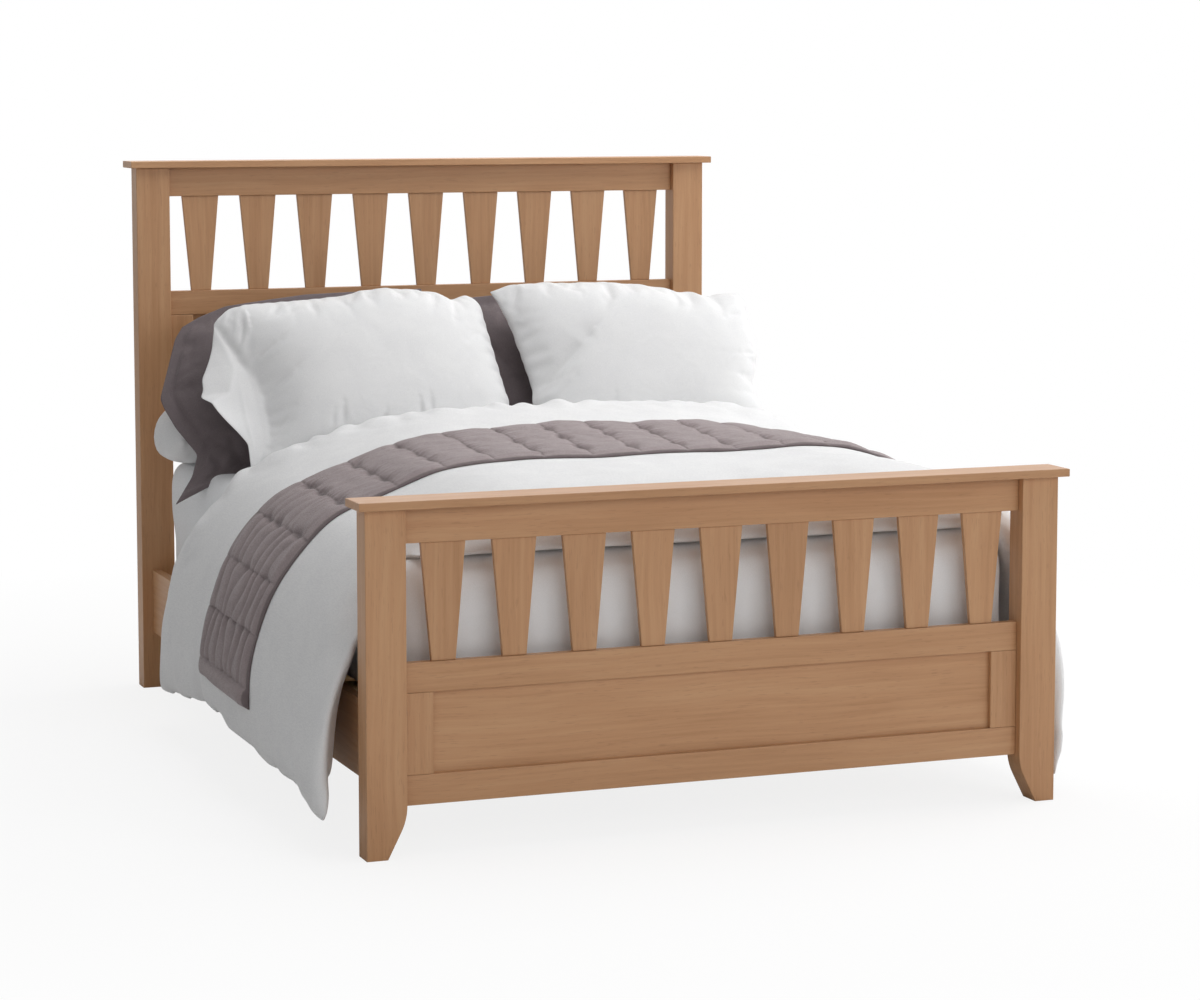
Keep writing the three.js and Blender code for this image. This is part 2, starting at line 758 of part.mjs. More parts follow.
// A point of its outer outline between two of the sections
function duvetOuter(side, share, y) {
  const label = side < 0 ? 'left' : 'right';
  const after = duvetSections.findIndex((section) => section.y >= y);
  const [first, second] = duvetSections.slice(Math.max(after - 1, 0), after + 1);
  const start = first[label].getPointAt(share);
  if (!second) return start;
  const part = THREE.MathUtils.smoothstep(y, first.y, second.y);
  return start.lerp(second[label].getPointAt(share), part);
}

function duvetPoint(side, share, y, lining) {
  const label = side < 0 ? 'left' : 'right';
  const point = duvetInner.getPointAt(share);
  const kneeHeight = mattressTop - duvetKnee;
  const hang = THREE.MathUtils.clamp((kneeHeight - point.y) / (kneeHeight - duvetHem), 0, 1);
  const footEase = Math.min((y - duvetFoot) / duvetFootRoll, 1);
  point.x += duvetFootFlare[label] * hang * (duvetFlareTop - hang) * (1 - footEase);
  if (!lining) {
    const headEase = Math.min((duvetHead - y) / duvetHeadRoll, 1);
    const flat = THREE.MathUtils.lerp(duvetFootFill, 1, hang);
    const foot = flat + (1 - flat) * Math.sin((footEase * Math.PI) / 2);
    const head = duvetHeadFill + (1 - duvetHeadFill) * Math.sqrt(headEase);
    point.lerp(duvetOuter(side, share, y), foot * head);
  }
  if (point.y < kneeHeight) {
    const drop = (kneeHeight - point.y) / (kneeHeight - duvetHem);
    const hem = duvetHemLines[label].getPoint((y - duvetFoot) / (duvetHead - duvetFoot)).y;
    point.y = kneeHeight - drop * (kneeHeight - hem);
    const fold = 0.5 - 0.5 * Math.cos((2 * Math.PI * (y - duvetFoot)) / duvetFoldLength);
    point.x += duvetFoldDepth * fold * drop ** 1.5 - duvetHemTuck[label] * drop ** 2;
  }
  const overFoot = Math.max(1 - (y - duvetFoot) / duvetFootDropLength, 0) ** 2;
  const overMiddle = 1 - THREE.MathUtils.smoothstep(point.x, halfMattress - 2 * mattressCorner, halfMattress);
  point.y -= duvetFootDrop * overFoot * overMiddle;
  const slant = duvetHeadSlant * hang * THREE.MathUtils.smoothstep(y, runnerHead, duvetHead);
  return new THREE.Vector3(side * point.x, y + slant, point.y);
}

function duvetGrid(lining) {
  const grid = [];
  for (let step = -duvetSteps; step <= duvetSteps; step += 1) {
    const side = step < 0 ? -1 : 1;
    const share = Math.abs(step) / duvetSteps;
    grid.push(duvetStations.map((y) => duvetPoint(side, share, y, lining)));
  }
  return grid;
}

// Runner: the duvet's own surface, lifted, thin on the stitch lines and full between them
function runner(surface) {
  const first = runnerEndRow;
  const [from, to] = runnerStations;
  const lower = [];
  const upper = [];
  for (let row = first; row < surface.length - first; row += 1) {
    const line = surface[row].slice(from, to + 1);
    const before = surface[row - 1].slice(from, to + 1);
    const after = surface[row + 1].slice(from, to + 1);
    const full = (row - first) % 2 === 1 ? runnerPuff : runnerStitch;
    const outward = line.map((_, place) => {
      const tangent = after[place].clone().sub(before[place]);
      return new THREE.Vector3(-tangent.z, 0, tangent.x).normalize();
    });
    lower.push(line.map((point, place) => point.clone().addScaledVector(outward[place], runnerLift)));
    upper.push(line.map((point, place) => {
      const edge = place === 0 || place === line.length - 1 ? runnerEdgeShare : 1;
      return point.clone().addScaledVector(outward[place], runnerLift + full * edge);
    }));
  }
  return quilt(upper, lower);
}

// Pillow: crowned on both faces, its ends drawn in and its long edges bowed, with or without a flange
function pillow({ width, height, thickness, flange, pinch, bow, slant, fullness }) {
  const columns = 12;
  const rows = 8;
  const layer = (sign) => {
    const grid = [];
    for (let column = -columns / 2; column <= columns / 2; column += 1) {
      const line = [];
      for (let row = -rows / 2; row <= rows / 2; row += 1) {
        const u = Math.sin((column / columns) * Math.PI);
        const v = Math.sin((row / rows) * Math.PI);
        const x = (width / 2) * u * (1 - pinch * (1 - v * v)) - (slant / 2) * v;
        const y = (height / 2) * (v + bow * Math.max(v, 0) * (1 - u * u));
        const fillX = Math.max(1 - Math.abs(u) / (1 - (2 * flange) / width), 0);
        const fillY = Math.max(1 - Math.abs(v) / (1 - (2 * flange) / height), 0);
        const fill = Math.sqrt((1 - (1 - fillX) ** fullness) * (1 - (1 - fillY) ** pillowFullness));
        line.push(new THREE.Vector3(x, y, sign * (pillowEdge / 2 + ((thickness - pillowEdge) / 2) * fill)));
      }
      grid.push(line);
    }
    return grid;
  };
  return quilt(layer(1), layer(-1));
}

// The pillows in pairs, each at its distance from the headboard and above the mattress
function pillows() {
  const group = new THREE.Group();
  const pairs = [
    ['pillow_back', backPillow, backStand, cotton],
    ['pillow_grey', greyPillow, greyStand, linen],
    ['pillow_front', frontPillow, frontStand, cotton],
  ];
  for (const [name, shape, stand, material] of pairs) {
    for (const [side, label] of [[-1, 'left'], [1, 'right']]) {
      const mesh = softMesh(`${name}_${label}`, pillow(shape), material);
      const x = stand.shift + side * stand.apart;
      mesh.position.set(x, headY - stand.fromHead, mattressTop + stand.above);
      mesh.rotation.x = THREE.MathUtils.degToRad(shape.lean);
      if (side < 0) mesh.rotateZ(THREE.MathUtils.degToRad(stand.sag));
      group.add(mesh);
    }
  }
  return group;
}

// The bed
const footCrossFront = postDepth - footCrossThickness;
const surface = duvetGrid(false);
const bed = new THREE.Group();
bed.position.y = -overallLength / 2;
bed.add(
  endBoard('footboard', footboardHeight, true, footCrossFront, footCrossThickness, postDepth, 0),
  endBoard('headboard', headboardHeight, false, 0, headCrossThickness, headY, headY),
  sideRails(),
  cornerBrackets(),
  centreSupport(footCrossFront),
  slatBase(),
  mattress(),
  softMesh('duvet', quilt(surface, duvetGrid(true)), cotton),
  softMesh('runner', runner(surface), quilting),
  pillows(),
);

export default bed;
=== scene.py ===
# A slatted wooden double bed with its bedding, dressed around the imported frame.
import math
import time

import bmesh
import bpy
import numpy as np
from mathutils import Euler, Matrix, Vector, noise
from mathutils.bvhtree import BVHTree


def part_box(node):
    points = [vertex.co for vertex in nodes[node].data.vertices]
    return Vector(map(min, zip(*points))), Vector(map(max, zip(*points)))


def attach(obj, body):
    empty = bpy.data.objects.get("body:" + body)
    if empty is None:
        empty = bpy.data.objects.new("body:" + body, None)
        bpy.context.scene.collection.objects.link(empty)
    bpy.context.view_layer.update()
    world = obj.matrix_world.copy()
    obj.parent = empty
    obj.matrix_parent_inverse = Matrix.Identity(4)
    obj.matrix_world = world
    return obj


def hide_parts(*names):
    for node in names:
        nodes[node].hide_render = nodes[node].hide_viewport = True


started = time.time()
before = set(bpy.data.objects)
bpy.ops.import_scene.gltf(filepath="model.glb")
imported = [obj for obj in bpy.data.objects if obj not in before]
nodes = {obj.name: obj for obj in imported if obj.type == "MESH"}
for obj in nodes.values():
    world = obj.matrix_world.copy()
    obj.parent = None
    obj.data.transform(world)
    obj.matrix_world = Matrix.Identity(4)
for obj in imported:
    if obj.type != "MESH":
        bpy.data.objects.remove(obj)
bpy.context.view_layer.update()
scene = bpy.context.scene
print("frame loaded:", len(nodes), "nodes")


# Small helpers for every material
def paint(hexCode):
    # an sRGB hex value as the linear colour that the shader reads
    parts = [int(hexCode[place:place + 2], 16) / 255 for place in (0, 2, 4)]
    return (*[part / 12.92 if part <= 0.04045 else ((part + 0.055) / 1.055) ** 2.4 for part in parts], 1)


def addNode(tree, kind, inputs=None, stops=None, **settings):
    # a node that is given as an input stands for its first output; stops hold places and hex values
    made = tree.nodes.new("ShaderNode" + kind)
    for setting, value in settings.items():
        setattr(made, setting, value)
    for socket, value in (inputs or {}).items():
        if isinstance(value, bpy.types.Node):
            value = value.outputs[0]
        if isinstance(value, bpy.types.NodeSocket):
            tree.links.new(value, made.inputs[socket])
        else:
            made.inputs[socket].default_value = value
    if stops:
        ramp = made.color_ramp
        while len(ramp.elements) < len(stops):
            ramp.elements.new(0.5)
        for element, (position, hexCode) in zip(ramp.elements, stops):
            element.position = position
            element.color = paint(hexCode)
    return made


def newMaterial(name):
    made = bpy.data.materials.new(name)
    made.use_nodes = True
    made.node_tree.nodes.clear()
    return made, made.node_tree


def finishMaterial(tree, shader):
    addNode(tree, "OutputMaterial", {"Surface": shader})


alongTurns = {"x": (0, 0, 0), "y": (0, 0, -math.pi / 2), "z": (0, math.pi / 2, 0)}


def placeInPlank(tree, look, along, shift):
    # the grain runs along x there, and wanders a little off its line
    place = addNode(tree, "TexCoord").outputs["Object"]
    turned = addNode(tree, "Mapping", {"Vector": place, "Rotation": alongTurns[along]})
    moved = addNode(tree, "VectorMath", {0: turned, 1: shift}, operation="ADD")
    drift = addNode(tree, "TexNoise", {
        "Vector": moved, "Scale": look["bendScale"], "Detail": look["bendDetail"]})
    bend = (0.0, look["bend"], look["bend"])
    return addNode(tree, "VectorMath", {0: drift.outputs["Color"], 1: bend, 2: moved},
                   operation="MULTIPLY_ADD")


# Lacquered oak: planed boards, stained mid brown, under a thin satin lacquer.
# The eye reads faint streaks along each board, short dark pores and a soft highlight.
oakLook = {
    "tones": [(0.36, "B3845B"), (0.5, "BC8D64"), (0.64, "C2956C")],     # from dark years to pale ones
    "bendScale": 3.0,
    "bendDetail": 1.0,
    "bend": 0.022,
    # width, length, detail and roughness of each figure in the grain; real fibres and pores are
    # about 0.3 mm wide or less, and are drawn this coarse so that they show
    "streaks": (0.011, 0.42, 3.0, 0.6),
    "patches": (0.09, 0.5, 2.0, 0.5),
    "fibres": (0.0022, 0.12, 2.0, 0.5),
    "pores": (0.0024, 0.030, 0.0, 0.5),
    "streakShare": 0.6,         # of the tone; the rest is the patches'
    "fibreSpan": (0.3, 0.7),
    "fibreShade": (0.975, 1.015),
    "fibreHeight": 0.5,
    "pore": "8A6040",
    "poreSpan": (0.69, 0.77),
    "poreStrength": 0.22,
    "poreHeight": -0.9,
    "grainStrength": 0.35,
    "grainDepth": 0.00025,
    "arris": "CFA67E",          # painted highlight: a paler colour along every edge, where the rounded arris catches the light
    "arrisWidth": 0.0022,
    "arrisTurn": (0.985, 0.85),     # cosines of the rounding where the painted highlight begins and is full
    "arrisWear": 0.6,
    "roughness": (0.42, 0.53),
    "coat": 0.14,
    "coatRoughness": 0.26,
    "ior": 1.5,
}


def lacqueredOak(name, along, shift, warmth):
    look = oakLook
    material, tree = newMaterial(name)
    place = placeInPlank(tree, look, along, shift)
    figures = {}
    for figure in ("streaks", "fibres", "pores", "patches"):
        width, length, detail, roughness = look[figure]
        scale = (1 / length, 1 / width, 1 / width)
        drawnOut = addNode(tree, "VectorMath", {0: place, 1: scale}, operation="MULTIPLY")
        figures[figure] = addNode(tree, "TexNoise", {
            "Vector": drawnOut, "Scale": 1.0, "Detail": detail, "Roughness": roughness})
    blend = addNode(tree, "Math", {0: figures["streaks"], 1: look["streakShare"]}, operation="MULTIPLY")
    blend = addNode(tree, "Math", {0: figures["patches"], 1: 1 - look["streakShare"], 2: blend},
                    operation="MULTIPLY_ADD")
    tone = addNode(tree, "ValToRGB", {"Fac": blend}, stops=look["tones"])
    fibreSpan = {"From Min": look["fibreSpan"][0], "From Max": look["fibreSpan"][1]}
    fibreShade = addNode(tree, "MapRange", {
        "Value": figures["fibres"], **fibreSpan,
        "To Min": look["fibreShade"][0], "To Max": look["fibreShade"][1]})
    fine = addNode(tree, "VectorMath", {0: tone, "Scale": fibreShade}, operation="SCALE")
    sparse = addNode(tree, "MapRange", {
        "Value": figures["pores"], "From Min": look["poreSpan"][0], "From Max": look["poreSpan"][1],
        "To Min": 0.0, "To Max": look["poreStrength"]})
    pored = addNode(tree, "Mix", {"Factor": sparse, 6: fine, 7: paint(look["pore"])}, data_type="RGBA")
    warm = addNode(tree, "HueSaturation", {
        "Color": pored.outputs[2], "Hue": 0.5, "Saturation": 1.0, "Value": warmth})
    rough = addNode(tree, "MapRange", {
        "Value": figures["fibres"], **fibreSpan,
        "To Min": look["roughness"][0], "To Max": look["roughness"][1]})
    relief = addNode(tree, "Math", {0: figures["fibres"], 1: look["fibreHeight"]}, operation="MULTIPLY")
    relief = addNode(tree, "Math", {0: sparse, 1: look["poreHeight"], 2: relief}, operation="MULTIPLY_ADD")
    rounded = addNode(tree, "Bevel", {"Radius": look["arrisWidth"]}, samples=4)
    flatSide = addNode(tree, "NewGeometry").outputs["Normal"]
    turnedBy = addNode(tree, "VectorMath", {0: rounded, 1: flatSide}, operation="DOT_PRODUCT")
    # painted highlight: the colour is mixed towards a paler one on the rounded edges
    onArris = addNode(tree, "MapRange", {
        "Value": turnedBy.outputs["Value"], "To Min": 0.0, "To Max": look["arrisWear"],
        "From Min": look["arrisTurn"][0], "From Max": look["arrisTurn"][1]})
    edgeHighlighted = addNode(tree, "Mix", {"Factor": onArris, 6: warm, 7: paint(look["arris"])}, data_type="RGBA")
    bump = addNode(tree, "Bump", {
        "Height": relief, "Strength": look["grainStrength"], "Distance": look["grainDepth"],
        "Normal": rounded})
    shader = addNode(tree, "BsdfPrincipled", {
        "Base Color": edgeHighlighted.outputs[2], "Roughness": rough, "Normal": bump, "IOR": look["ior"],
        "Coat Weight": look["coat"], "Coat Roughness": look["coatRoughness"]})
    finishMaterial(tree, shader)
    return material


# Planed pine, unfinished: pale summer wood with darker winter lines and a dry, matt surface
pineLook = {
    "tones": [(0.4, "D9C096"), (0.56, "D9C096"), (0.66, "C4A06F")],
    "bendScale": 2.2,
    "bendDetail": 1.5,
    "bend": 0.05,
    "ringWidth": 0.006,
    "ringLength": 1.25,
    "ringScale": 0.6,
    "ringStrength": 0.25,
    "ringDepth": 0.0004,
    "roughness": 0.72,
}


def planedPine(name, along, shift):
    look = pineLook
    material, tree = newMaterial(name)
    place = placeInPlank(tree, look, along, shift)
    scale = (1 / look["ringLength"], 1 / look["ringWidth"], 1 / look["ringWidth"])
    drawnOut = addNode(tree, "VectorMath", {0: place, 1: scale}, operation="MULTIPLY")
    rings = addNode(tree, "TexNoise", {"Vector": drawnOut, "Scale": look["ringScale"], "Detail": 3.0})
    tone = addNode(tree, "ValToRGB", {"Fac": rings}, stops=look["tones"])
    bump = addNode(tree, "Bump", {
        "Height": rings, "Strength": look["ringStrength"], "Distance": look["ringDepth"]})
    shader = addNode(tree, "BsdfPrincipled", {
        "Base Color": tone, "Roughness": look["roughness"], "Normal": bump})
    finishMaterial(tree, shader)
    return material


# Zinc plated steel, folded from sheet: a cool grey metal with a faint mottle and dull gloss
zincLook = {
    "tones": [(0.35, "8E9498"), (0.65, "B4B8BC")],
    "spangle": 0.004,
    "spangleSpan": (0.3, 0.7),
    "roughness": (0.3, 0.46),
}


def zincPlate():
    look = zincLook
    material, tree = newMaterial("zinc_plate")
    place = addNode(tree, "TexCoord").outputs["Object"]
    mottle = addNode(tree, "TexNoise", {"Vector": place, "Scale": 1 / look["spangle"], "Detail": 2.0})
    tone = addNode(tree, "ValToRGB", {"Fac": mottle}, stops=look["tones"])
    rough = addNode(tree, "MapRange", {
        "Value": mottle, "From Min": look["spangleSpan"][0], "From Max": look["spangleSpan"][1],
        "To Min": look["roughness"][0], "To Max": look["roughness"][1]})
    shader = addNode(tree, "BsdfPrincipled", {"Base Color": tone, "Roughness": rough, "Metallic": 1.0})
    finishMaterial(tree, shader)
    return material


# Woven cloth: warp and weft as a fine bump, soft creases, a little sheen at grazing angles.
# Real threads are about 0.3 mm apart; they are drawn this coarse so that they show.
clothLooks = {
    "cotton_percale": {
        "colour": "E6E6E6", "shade": "DEDEDF", "thread": 0.0011, "threadDepth": 0.00008,
        "creaseSize": 0.085, "creaseDepth": 0.0016, "roughness": 0.86, "sheen": 0.12,
    },
    "mattress_jersey": {
        "colour": "F0F1F3", "shade": "EAEBEC", "thread": 0.0016, "threadDepth": 0.0001,
        "creaseSize": 0.12, "creaseDepth": 0.0012, "roughness": 0.92, "sheen": 0.1,
    },
    "mauve_cotton": {
        "colour": "998C8C", "shade": "8C7F80", "thread": 0.0014, "threadDepth": 0.00015,
        "creaseSize": 0.024, "creaseDepth": 0.0012, "roughness": 0.8, "sheen": 0.18,
        # colour of the seam thread, also used for painted shade in the stitch grooves, along the long edges
        # and in the grooves of the hanging ridges
        "threadAndPaintedShade": "54494A",
    },
    "dark_mauve_cotton": {
        "colour": "6F6466", "shade": "63595B", "thread": 0.0013, "threadDepth": 0.00012,
        "creaseSize": 0.050, "creaseDepth": 0.0022, "roughness": 0.8, "sheen": 0.2,
    },
}
clothWeave = {
    "creaseDetail": 3.0,
    "creaseRoughness": 0.45,
    "creaseDistortion": 0.6,
    "slubs": (900, 60, 500),        # thick places in the threads, to the metre
    "slubShare": 0.7,               # of the shade; the rest is the creases'
    "shadeSpan": (0.4, 0.6),
    "threadStrength": 0.5,
    "sheenRoughness": 0.4,
}


def wovenCloth(name):
    look = clothLooks[name]
    weave = clothWeave
    material, tree = newMaterial(name)
    place = addNode(tree, "TexCoord").outputs["Object"]
    turns = 2 * math.pi / look["thread"]
    threads = addNode(tree, "VectorMath", {0: place, "Scale": turns}, operation="SCALE")
    parts = addNode(tree, "SeparateXYZ", {0: threads})
    waves = [addNode(tree, "Math", {0: parts.outputs[axis]}, operation="SINE") for axis in "XYZ"]
    relief = addNode(tree, "Math", {0: waves[0], 1: waves[1]}, operation="ADD")
    relief = addNode(tree, "Math", {0: relief, 1: waves[2]}, operation="ADD")
    creases = addNode(tree, "TexNoise", {
        "Vector": place, "Scale": 1 / look["creaseSize"], "Detail": weave["creaseDetail"],
        "Roughness": weave["creaseRoughness"], "Distortion": weave["creaseDistortion"]})
    slubPlace = addNode(tree, "VectorMath", {0: place, 1: weave["slubs"]}, operation="MULTIPLY")
    slubs = addNode(tree, "TexNoise", {"Vector": slubPlace, "Scale": 1.0, "Detail": 1.0})
    shade = addNode(tree, "Math", {0: slubs, 1: weave["slubShare"]}, operation="MULTIPLY")
    shade = addNode(tree, "Math", {0: creases, 1: 1 - weave["slubShare"], 2: shade},
                    operation="MULTIPLY_ADD")
    stops = list(zip(weave["shadeSpan"], (look["shade"], look["colour"])))
    tone = addNode(tree, "ValToRGB", {"Fac": shade}, stops=stops).outputs[0]
    # the dark seam thread and the painted shade, read from the piece's own attribute
    if "threadAndPaintedShade" in look:
        sewn = addNode(tree, "Attribute", attribute_name="threadAndPaintedShade").outputs["Fac"]
        mixed = addNode(tree, "Mix", {"Factor": sewn, 6: tone, 7: paint(look["threadAndPaintedShade"])}, data_type="RGBA")
        tone = mixed.outputs[2]
    fold = addNode(tree, "Bump", {"Height": creases, "Strength": 1.0, "Distance": look["creaseDepth"]})
    bump = addNode(tree, "Bump", {
        "Height": relief, "Strength": weave["threadStrength"], "Distance": look["threadDepth"],
        "Normal": fold})
    shader = addNode(tree, "BsdfPrincipled", {
        "Base Color": tone, "Roughness": look["roughness"], "Normal": bump,
        "Sheen Weight": look["sheen"], "Sheen Roughness": weave["sheenRoughness"]})
    finishMaterial(tree, shader)
    return material


cloths = {name: wovenCloth(name) for name in clothLooks}
zinc = zincPlate()


# Every CAD timber gets grain along its own length, from its own part of the plank
planks = {
    "spread": 0.731,                # metres between the places of two timbers
    "directions": (1, 0.37, 0.59),
    "warmth": (0.975, 0.05, 0.618),     # the lowest, how much more at most, and the step
}


def dressTimbers():
    lowest, more, step = planks["warmth"]
    for count, (name, node) in enumerate(sorted(nodes.items())):
        low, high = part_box(name)
        sizes = high - low
        along = "xyz"[max(range(3), key=lambda axis: sizes[axis])]
        shift = [count * planks["spread"] * part for part in planks["directions"]]
        if name.startswith(("footboard", "headboard", "side_rail")) and "cross" not in name:
            finish = lacqueredOak("oak_" + name, along, shift, lowest + more * ((count * step) % 1))
        elif "bracket" in name:
            finish = zinc
        elif name == "slat_base":
            finish = planedPine("pine_slat_base", "x", shift)
        elif name.startswith(("centre", "side_ledge")) or "cross" in name:
            finish = planedPine("pine_" + name, along, shift)
        else:
            continue
        node.data.materials.clear()
        node.data.materials.append(finish)


dressTimbers()
print("timbers dressed")


# Helpers for the soft pieces
def coordinates(piece):
    flat = np.empty(len(piece.data.vertices) * 3)
    piece.data.vertices.foreach_get("co", flat)
    return flat.reshape(-1, 3)


def setCoordinates(piece, points):
    piece.data.vertices.foreach_set("co", np.ascontiguousarray(points, dtype=np.float32).ravel())
    piece.data.update()


def normals(piece):
    flat = np.empty(len(piece.data.vertices) * 3)
    piece.data.vertices.foreach_get("normal", flat)
    return flat.reshape(-1, 3)


def newPiece(name, bm, material):
    mesh = bpy.data.meshes.new(name)
    bm.to_mesh(mesh)
    bm.free()
    piece = bpy.data.objects.new(name, mesh)
    scene.collection.objects.link(piece)
    piece.data.materials.append(material)
    return piece


weldWithin = 0.0001
flatEnough = 3.1        # radians: triangles join whatever the angle between them


def weldedCopy(node):
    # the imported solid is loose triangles: joined again, and back to four-sided faces
    bm = bmesh.new()
    bm.from_mesh(nodes[node].data)
    bmesh.ops.remove_doubles(bm, verts=bm.verts, dist=weldWithin)
    bmesh.ops.join_triangles(
        bm, faces=bm.faces, angle_face_threshold=flatEnough, angle_shape_threshold=flatEnough)
    return bm


def twoLayers(bm, columns, rows):
    # a flat grid and its turned copy, the two layers of a piece of cloth; gives the copy's vertices
    bmesh.ops.create_grid(bm, x_segments=columns, y_segments=rows, size=0.5)
    copied = bmesh.ops.duplicate(bm, geom=bm.faces[:])["geom"]
    bmesh.ops.reverse_faces(bm, faces=[item for item in copied if isinstance(item, bmesh.types.BMFace)])
    return {item for item in copied if isinstance(item, bmesh.types.BMVert)}


def applyAll(piece):
    graph = bpy.context.evaluated_depsgraph_get()
    made = bpy.data.meshes.new_from_object(piece.evaluated_get(graph))
    piece.modifiers.clear()
    piece.data = made


def addModifier(piece, kind, **settings):
    made = piece.modifiers.new(kind.title(), kind)
    for setting, value in settings.items():
        setattr(made, setting, value)


def shadeSmooth(piece):
    piece.data.polygons.foreach_set("use_smooth", [True] * len(piece.data.polygons))


def swell(piece, frames, cap, **cloth):
    # blows the cloth up for some frames, then holds every point within the cap of its start
    start = coordinates(piece)
    modifier = piece.modifiers.new("Cloth", "CLOTH")
    settings = modifier.settings
    settings.effector_weights.gravity = 0
    for setting, value in cloth.items():
        setattr(settings, setting, value)
    modifier.collision_settings.use_collision = False
    modifier.point_cache.frame_start = 1
    modifier.point_cache.frame_end = frames
    scene.frame_start = 1
    scene.frame_end = frames
    for step in range(1, frames + 1):
        scene.frame_set(step)
    applyAll(piece)
    moved = coordinates(piece) - start
    length = np.maximum(np.linalg.norm(moved, axis=1, keepdims=True), 1e-9)
    setCoordinates(piece, start + moved / length * cap * np.tanh(length / cap))
    scene.frame_set(1)


rippleSpread = (3.7, 1.3, 5.1)      # how far apart two seeds look in the noise


def ripple(points, size, seed):
    # smooth noise between about -1 and 1 at every point
    offset = Vector([seed * part for part in rippleSpread])
    return np.array([noise.noise(Vector(point) / size + offset) for point in points])


def easedStep(values, low, high):
    share = np.clip((values - low) / (high - low), 0, 1)
    return share * share * (3 - 2 * share)


def alongTable(values, table):
    return np.interp(values, *np.array(table).T)


def dressed(piece, node, body="root"):
    shadeSmooth(piece)
    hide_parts(node)
    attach(piece, body)
    print(f"{piece.name}: {len(piece.data.polygons)} faces, {time.time() - started:.0f} s")
    return piece


# Mattress: a soft block in a jersey cover, with a shallow swell between its corners
mattress = {
    "fill": 0.9,
    "dimple": 0.0015,
    "dimpleSize": 0.09,
    "sideFill": 0.010,              # the bare end swells over the side rails
    "cornerFill": (0.010, 0.016),   # and its top edge fills out, sideways and up
    # places where each of these begins and is full: from the middle, along the bed, over the floor
    "sideFrom": (0.64, 0.73),
    "bareFrom": (0.50, 0.60),
    "sideHeights": (0.40, 0.50),
    "cornerHeights": (0.53, 0.61),
}


def makeMattress():
    look = mattress
    piece = newPiece("mattress_in_cover", weldedCopy("mattress"), cloths["mattress_jersey"])
    addModifier(piece, "SUBSURF", levels=3, render_levels=3)
    applyAll(piece)
    points = coordinates(piece)
    depth = look["dimple"] * ripple(points, look["dimpleSize"], 6)
    points += normals(piece) * depth[:, None]
    side = easedStep(np.abs(points[:, 0]), *look["sideFrom"]) * easedStep(points[:, 1], *look["bareFrom"])
    corner = side * easedStep(points[:, 2], *look["cornerHeights"])
    swollen = look["sideFill"] * side * easedStep(points[:, 2], *look["sideHeights"])
    swollen += look["cornerFill"][0] * corner
    points[:, 0] += np.sign(points[:, 0]) * swollen
    points[:, 2] += look["cornerFill"][1] * corner
    setCoordinates(piece, points)
    dressed(piece, "mattress")


# Duvet: the solid's form, remeshed and blown up with spare cloth in it. It is smooth over the
# drops, softly uneven on top, and pushed into puffs where it meets the pillows.
duvet = {
    "fill": 0.55,
    "voxel": 0.017,
    "smoothing": (0.5, 6),          # strength and rounds after the remesh
    "frames": 16,
    "cap": 0.012,
    "cloth": {
        "quality": 4, "mass": 0.3, "use_pressure": True, "uniform_pressure_force": 3.0,
        "shrink_min": -0.035, "shrink_max": -0.035, "tension_stiffness": 12,
        "compression_stiffness": 12, "shear_stiffness": 4, "bending_stiffness": 0.4,
    },
    "unevenDepth": 0.0035,
    "unevenSize": 0.2,
    "fineShare": 0.4,
    "fineSize": 0.08,
    "outsideFrom": (0.1, 0.5),      # how far up a face has to look for puffs and crumples
    "puffDepth": 0.013,
    "puffWidth": 0.085,
    "puffLength": 0.16,
    "puffFlatness": 0.6,
    "puffRise": (2.6, -0.5),        # times the noise's slope, and the level between the puffs
    "puffsFrom": (0.17, 0.36),      # along the bed, where they begin and are full
    "crumpleDepth": 0.006,
    "crumpleWidth": 0.045,
    "crumplesFrom": (0.1, 0.36),
    "hemSpare": 0.014,              # what smoothing takes off the hem and its foot corners
    "cornerSpare": 0.034,
    "cornerReach": 0.03,
    "hemBelow": 0.17,
    "dropBeyond": 0.7,              # from the middle: the two drops at the sides
    # how far the left hem sags further, at places along the bed
    "hemSag": [
        (-1.0, 0.017), (-0.85, 0.013), (-0.76, 0.010), (-0.65, 0.028), (-0.56, 0.036), (-0.21, 0.038),
        (-0.14, 0.022), (0.0, 0.012), (0.15, 0.012), (0.27, 0.015), (0.45, 0.012),
    ],
    "sagHeights": (0.34, 0.14),     # it begins at the first and is full at the second
    # how far the inner side of the left foot corner stands in, at heights over the floor
    "cornerTurn": [(0.03, 0.015), (0.12, 0.028), (0.18, 0.008), (0.27, -0.012), (0.42, 0.0)],
    "turnAcross": (0.9, 0.06, -0.2),        # its outer edge, its breadth, and the share outside it
    "turnFrom": (0.9, 0.98),
    "rightBulge": (0.022, 0.24, 0.15),      # how far, at which height, and half its height
    "bulgeFrom": (0.70, 0.92),
    # folds that hang in the left drop: place along the bed, depth, half breadth, how far up
    "dropFolds": [
        (0.075, 0.022, 0.026, 0.36), (0.300, 0.008, 0.034, 0.50), (-0.620, 0.009, 0.050, 0.50),
        (-0.800, 0.008, 0.045, 0.42),
    ],
    "foldFlanks": (1.8, 0.7),       # steeper towards the head than towards the foot
    "foldPower": 1.5,
    "foldFullAt": 0.15,
}


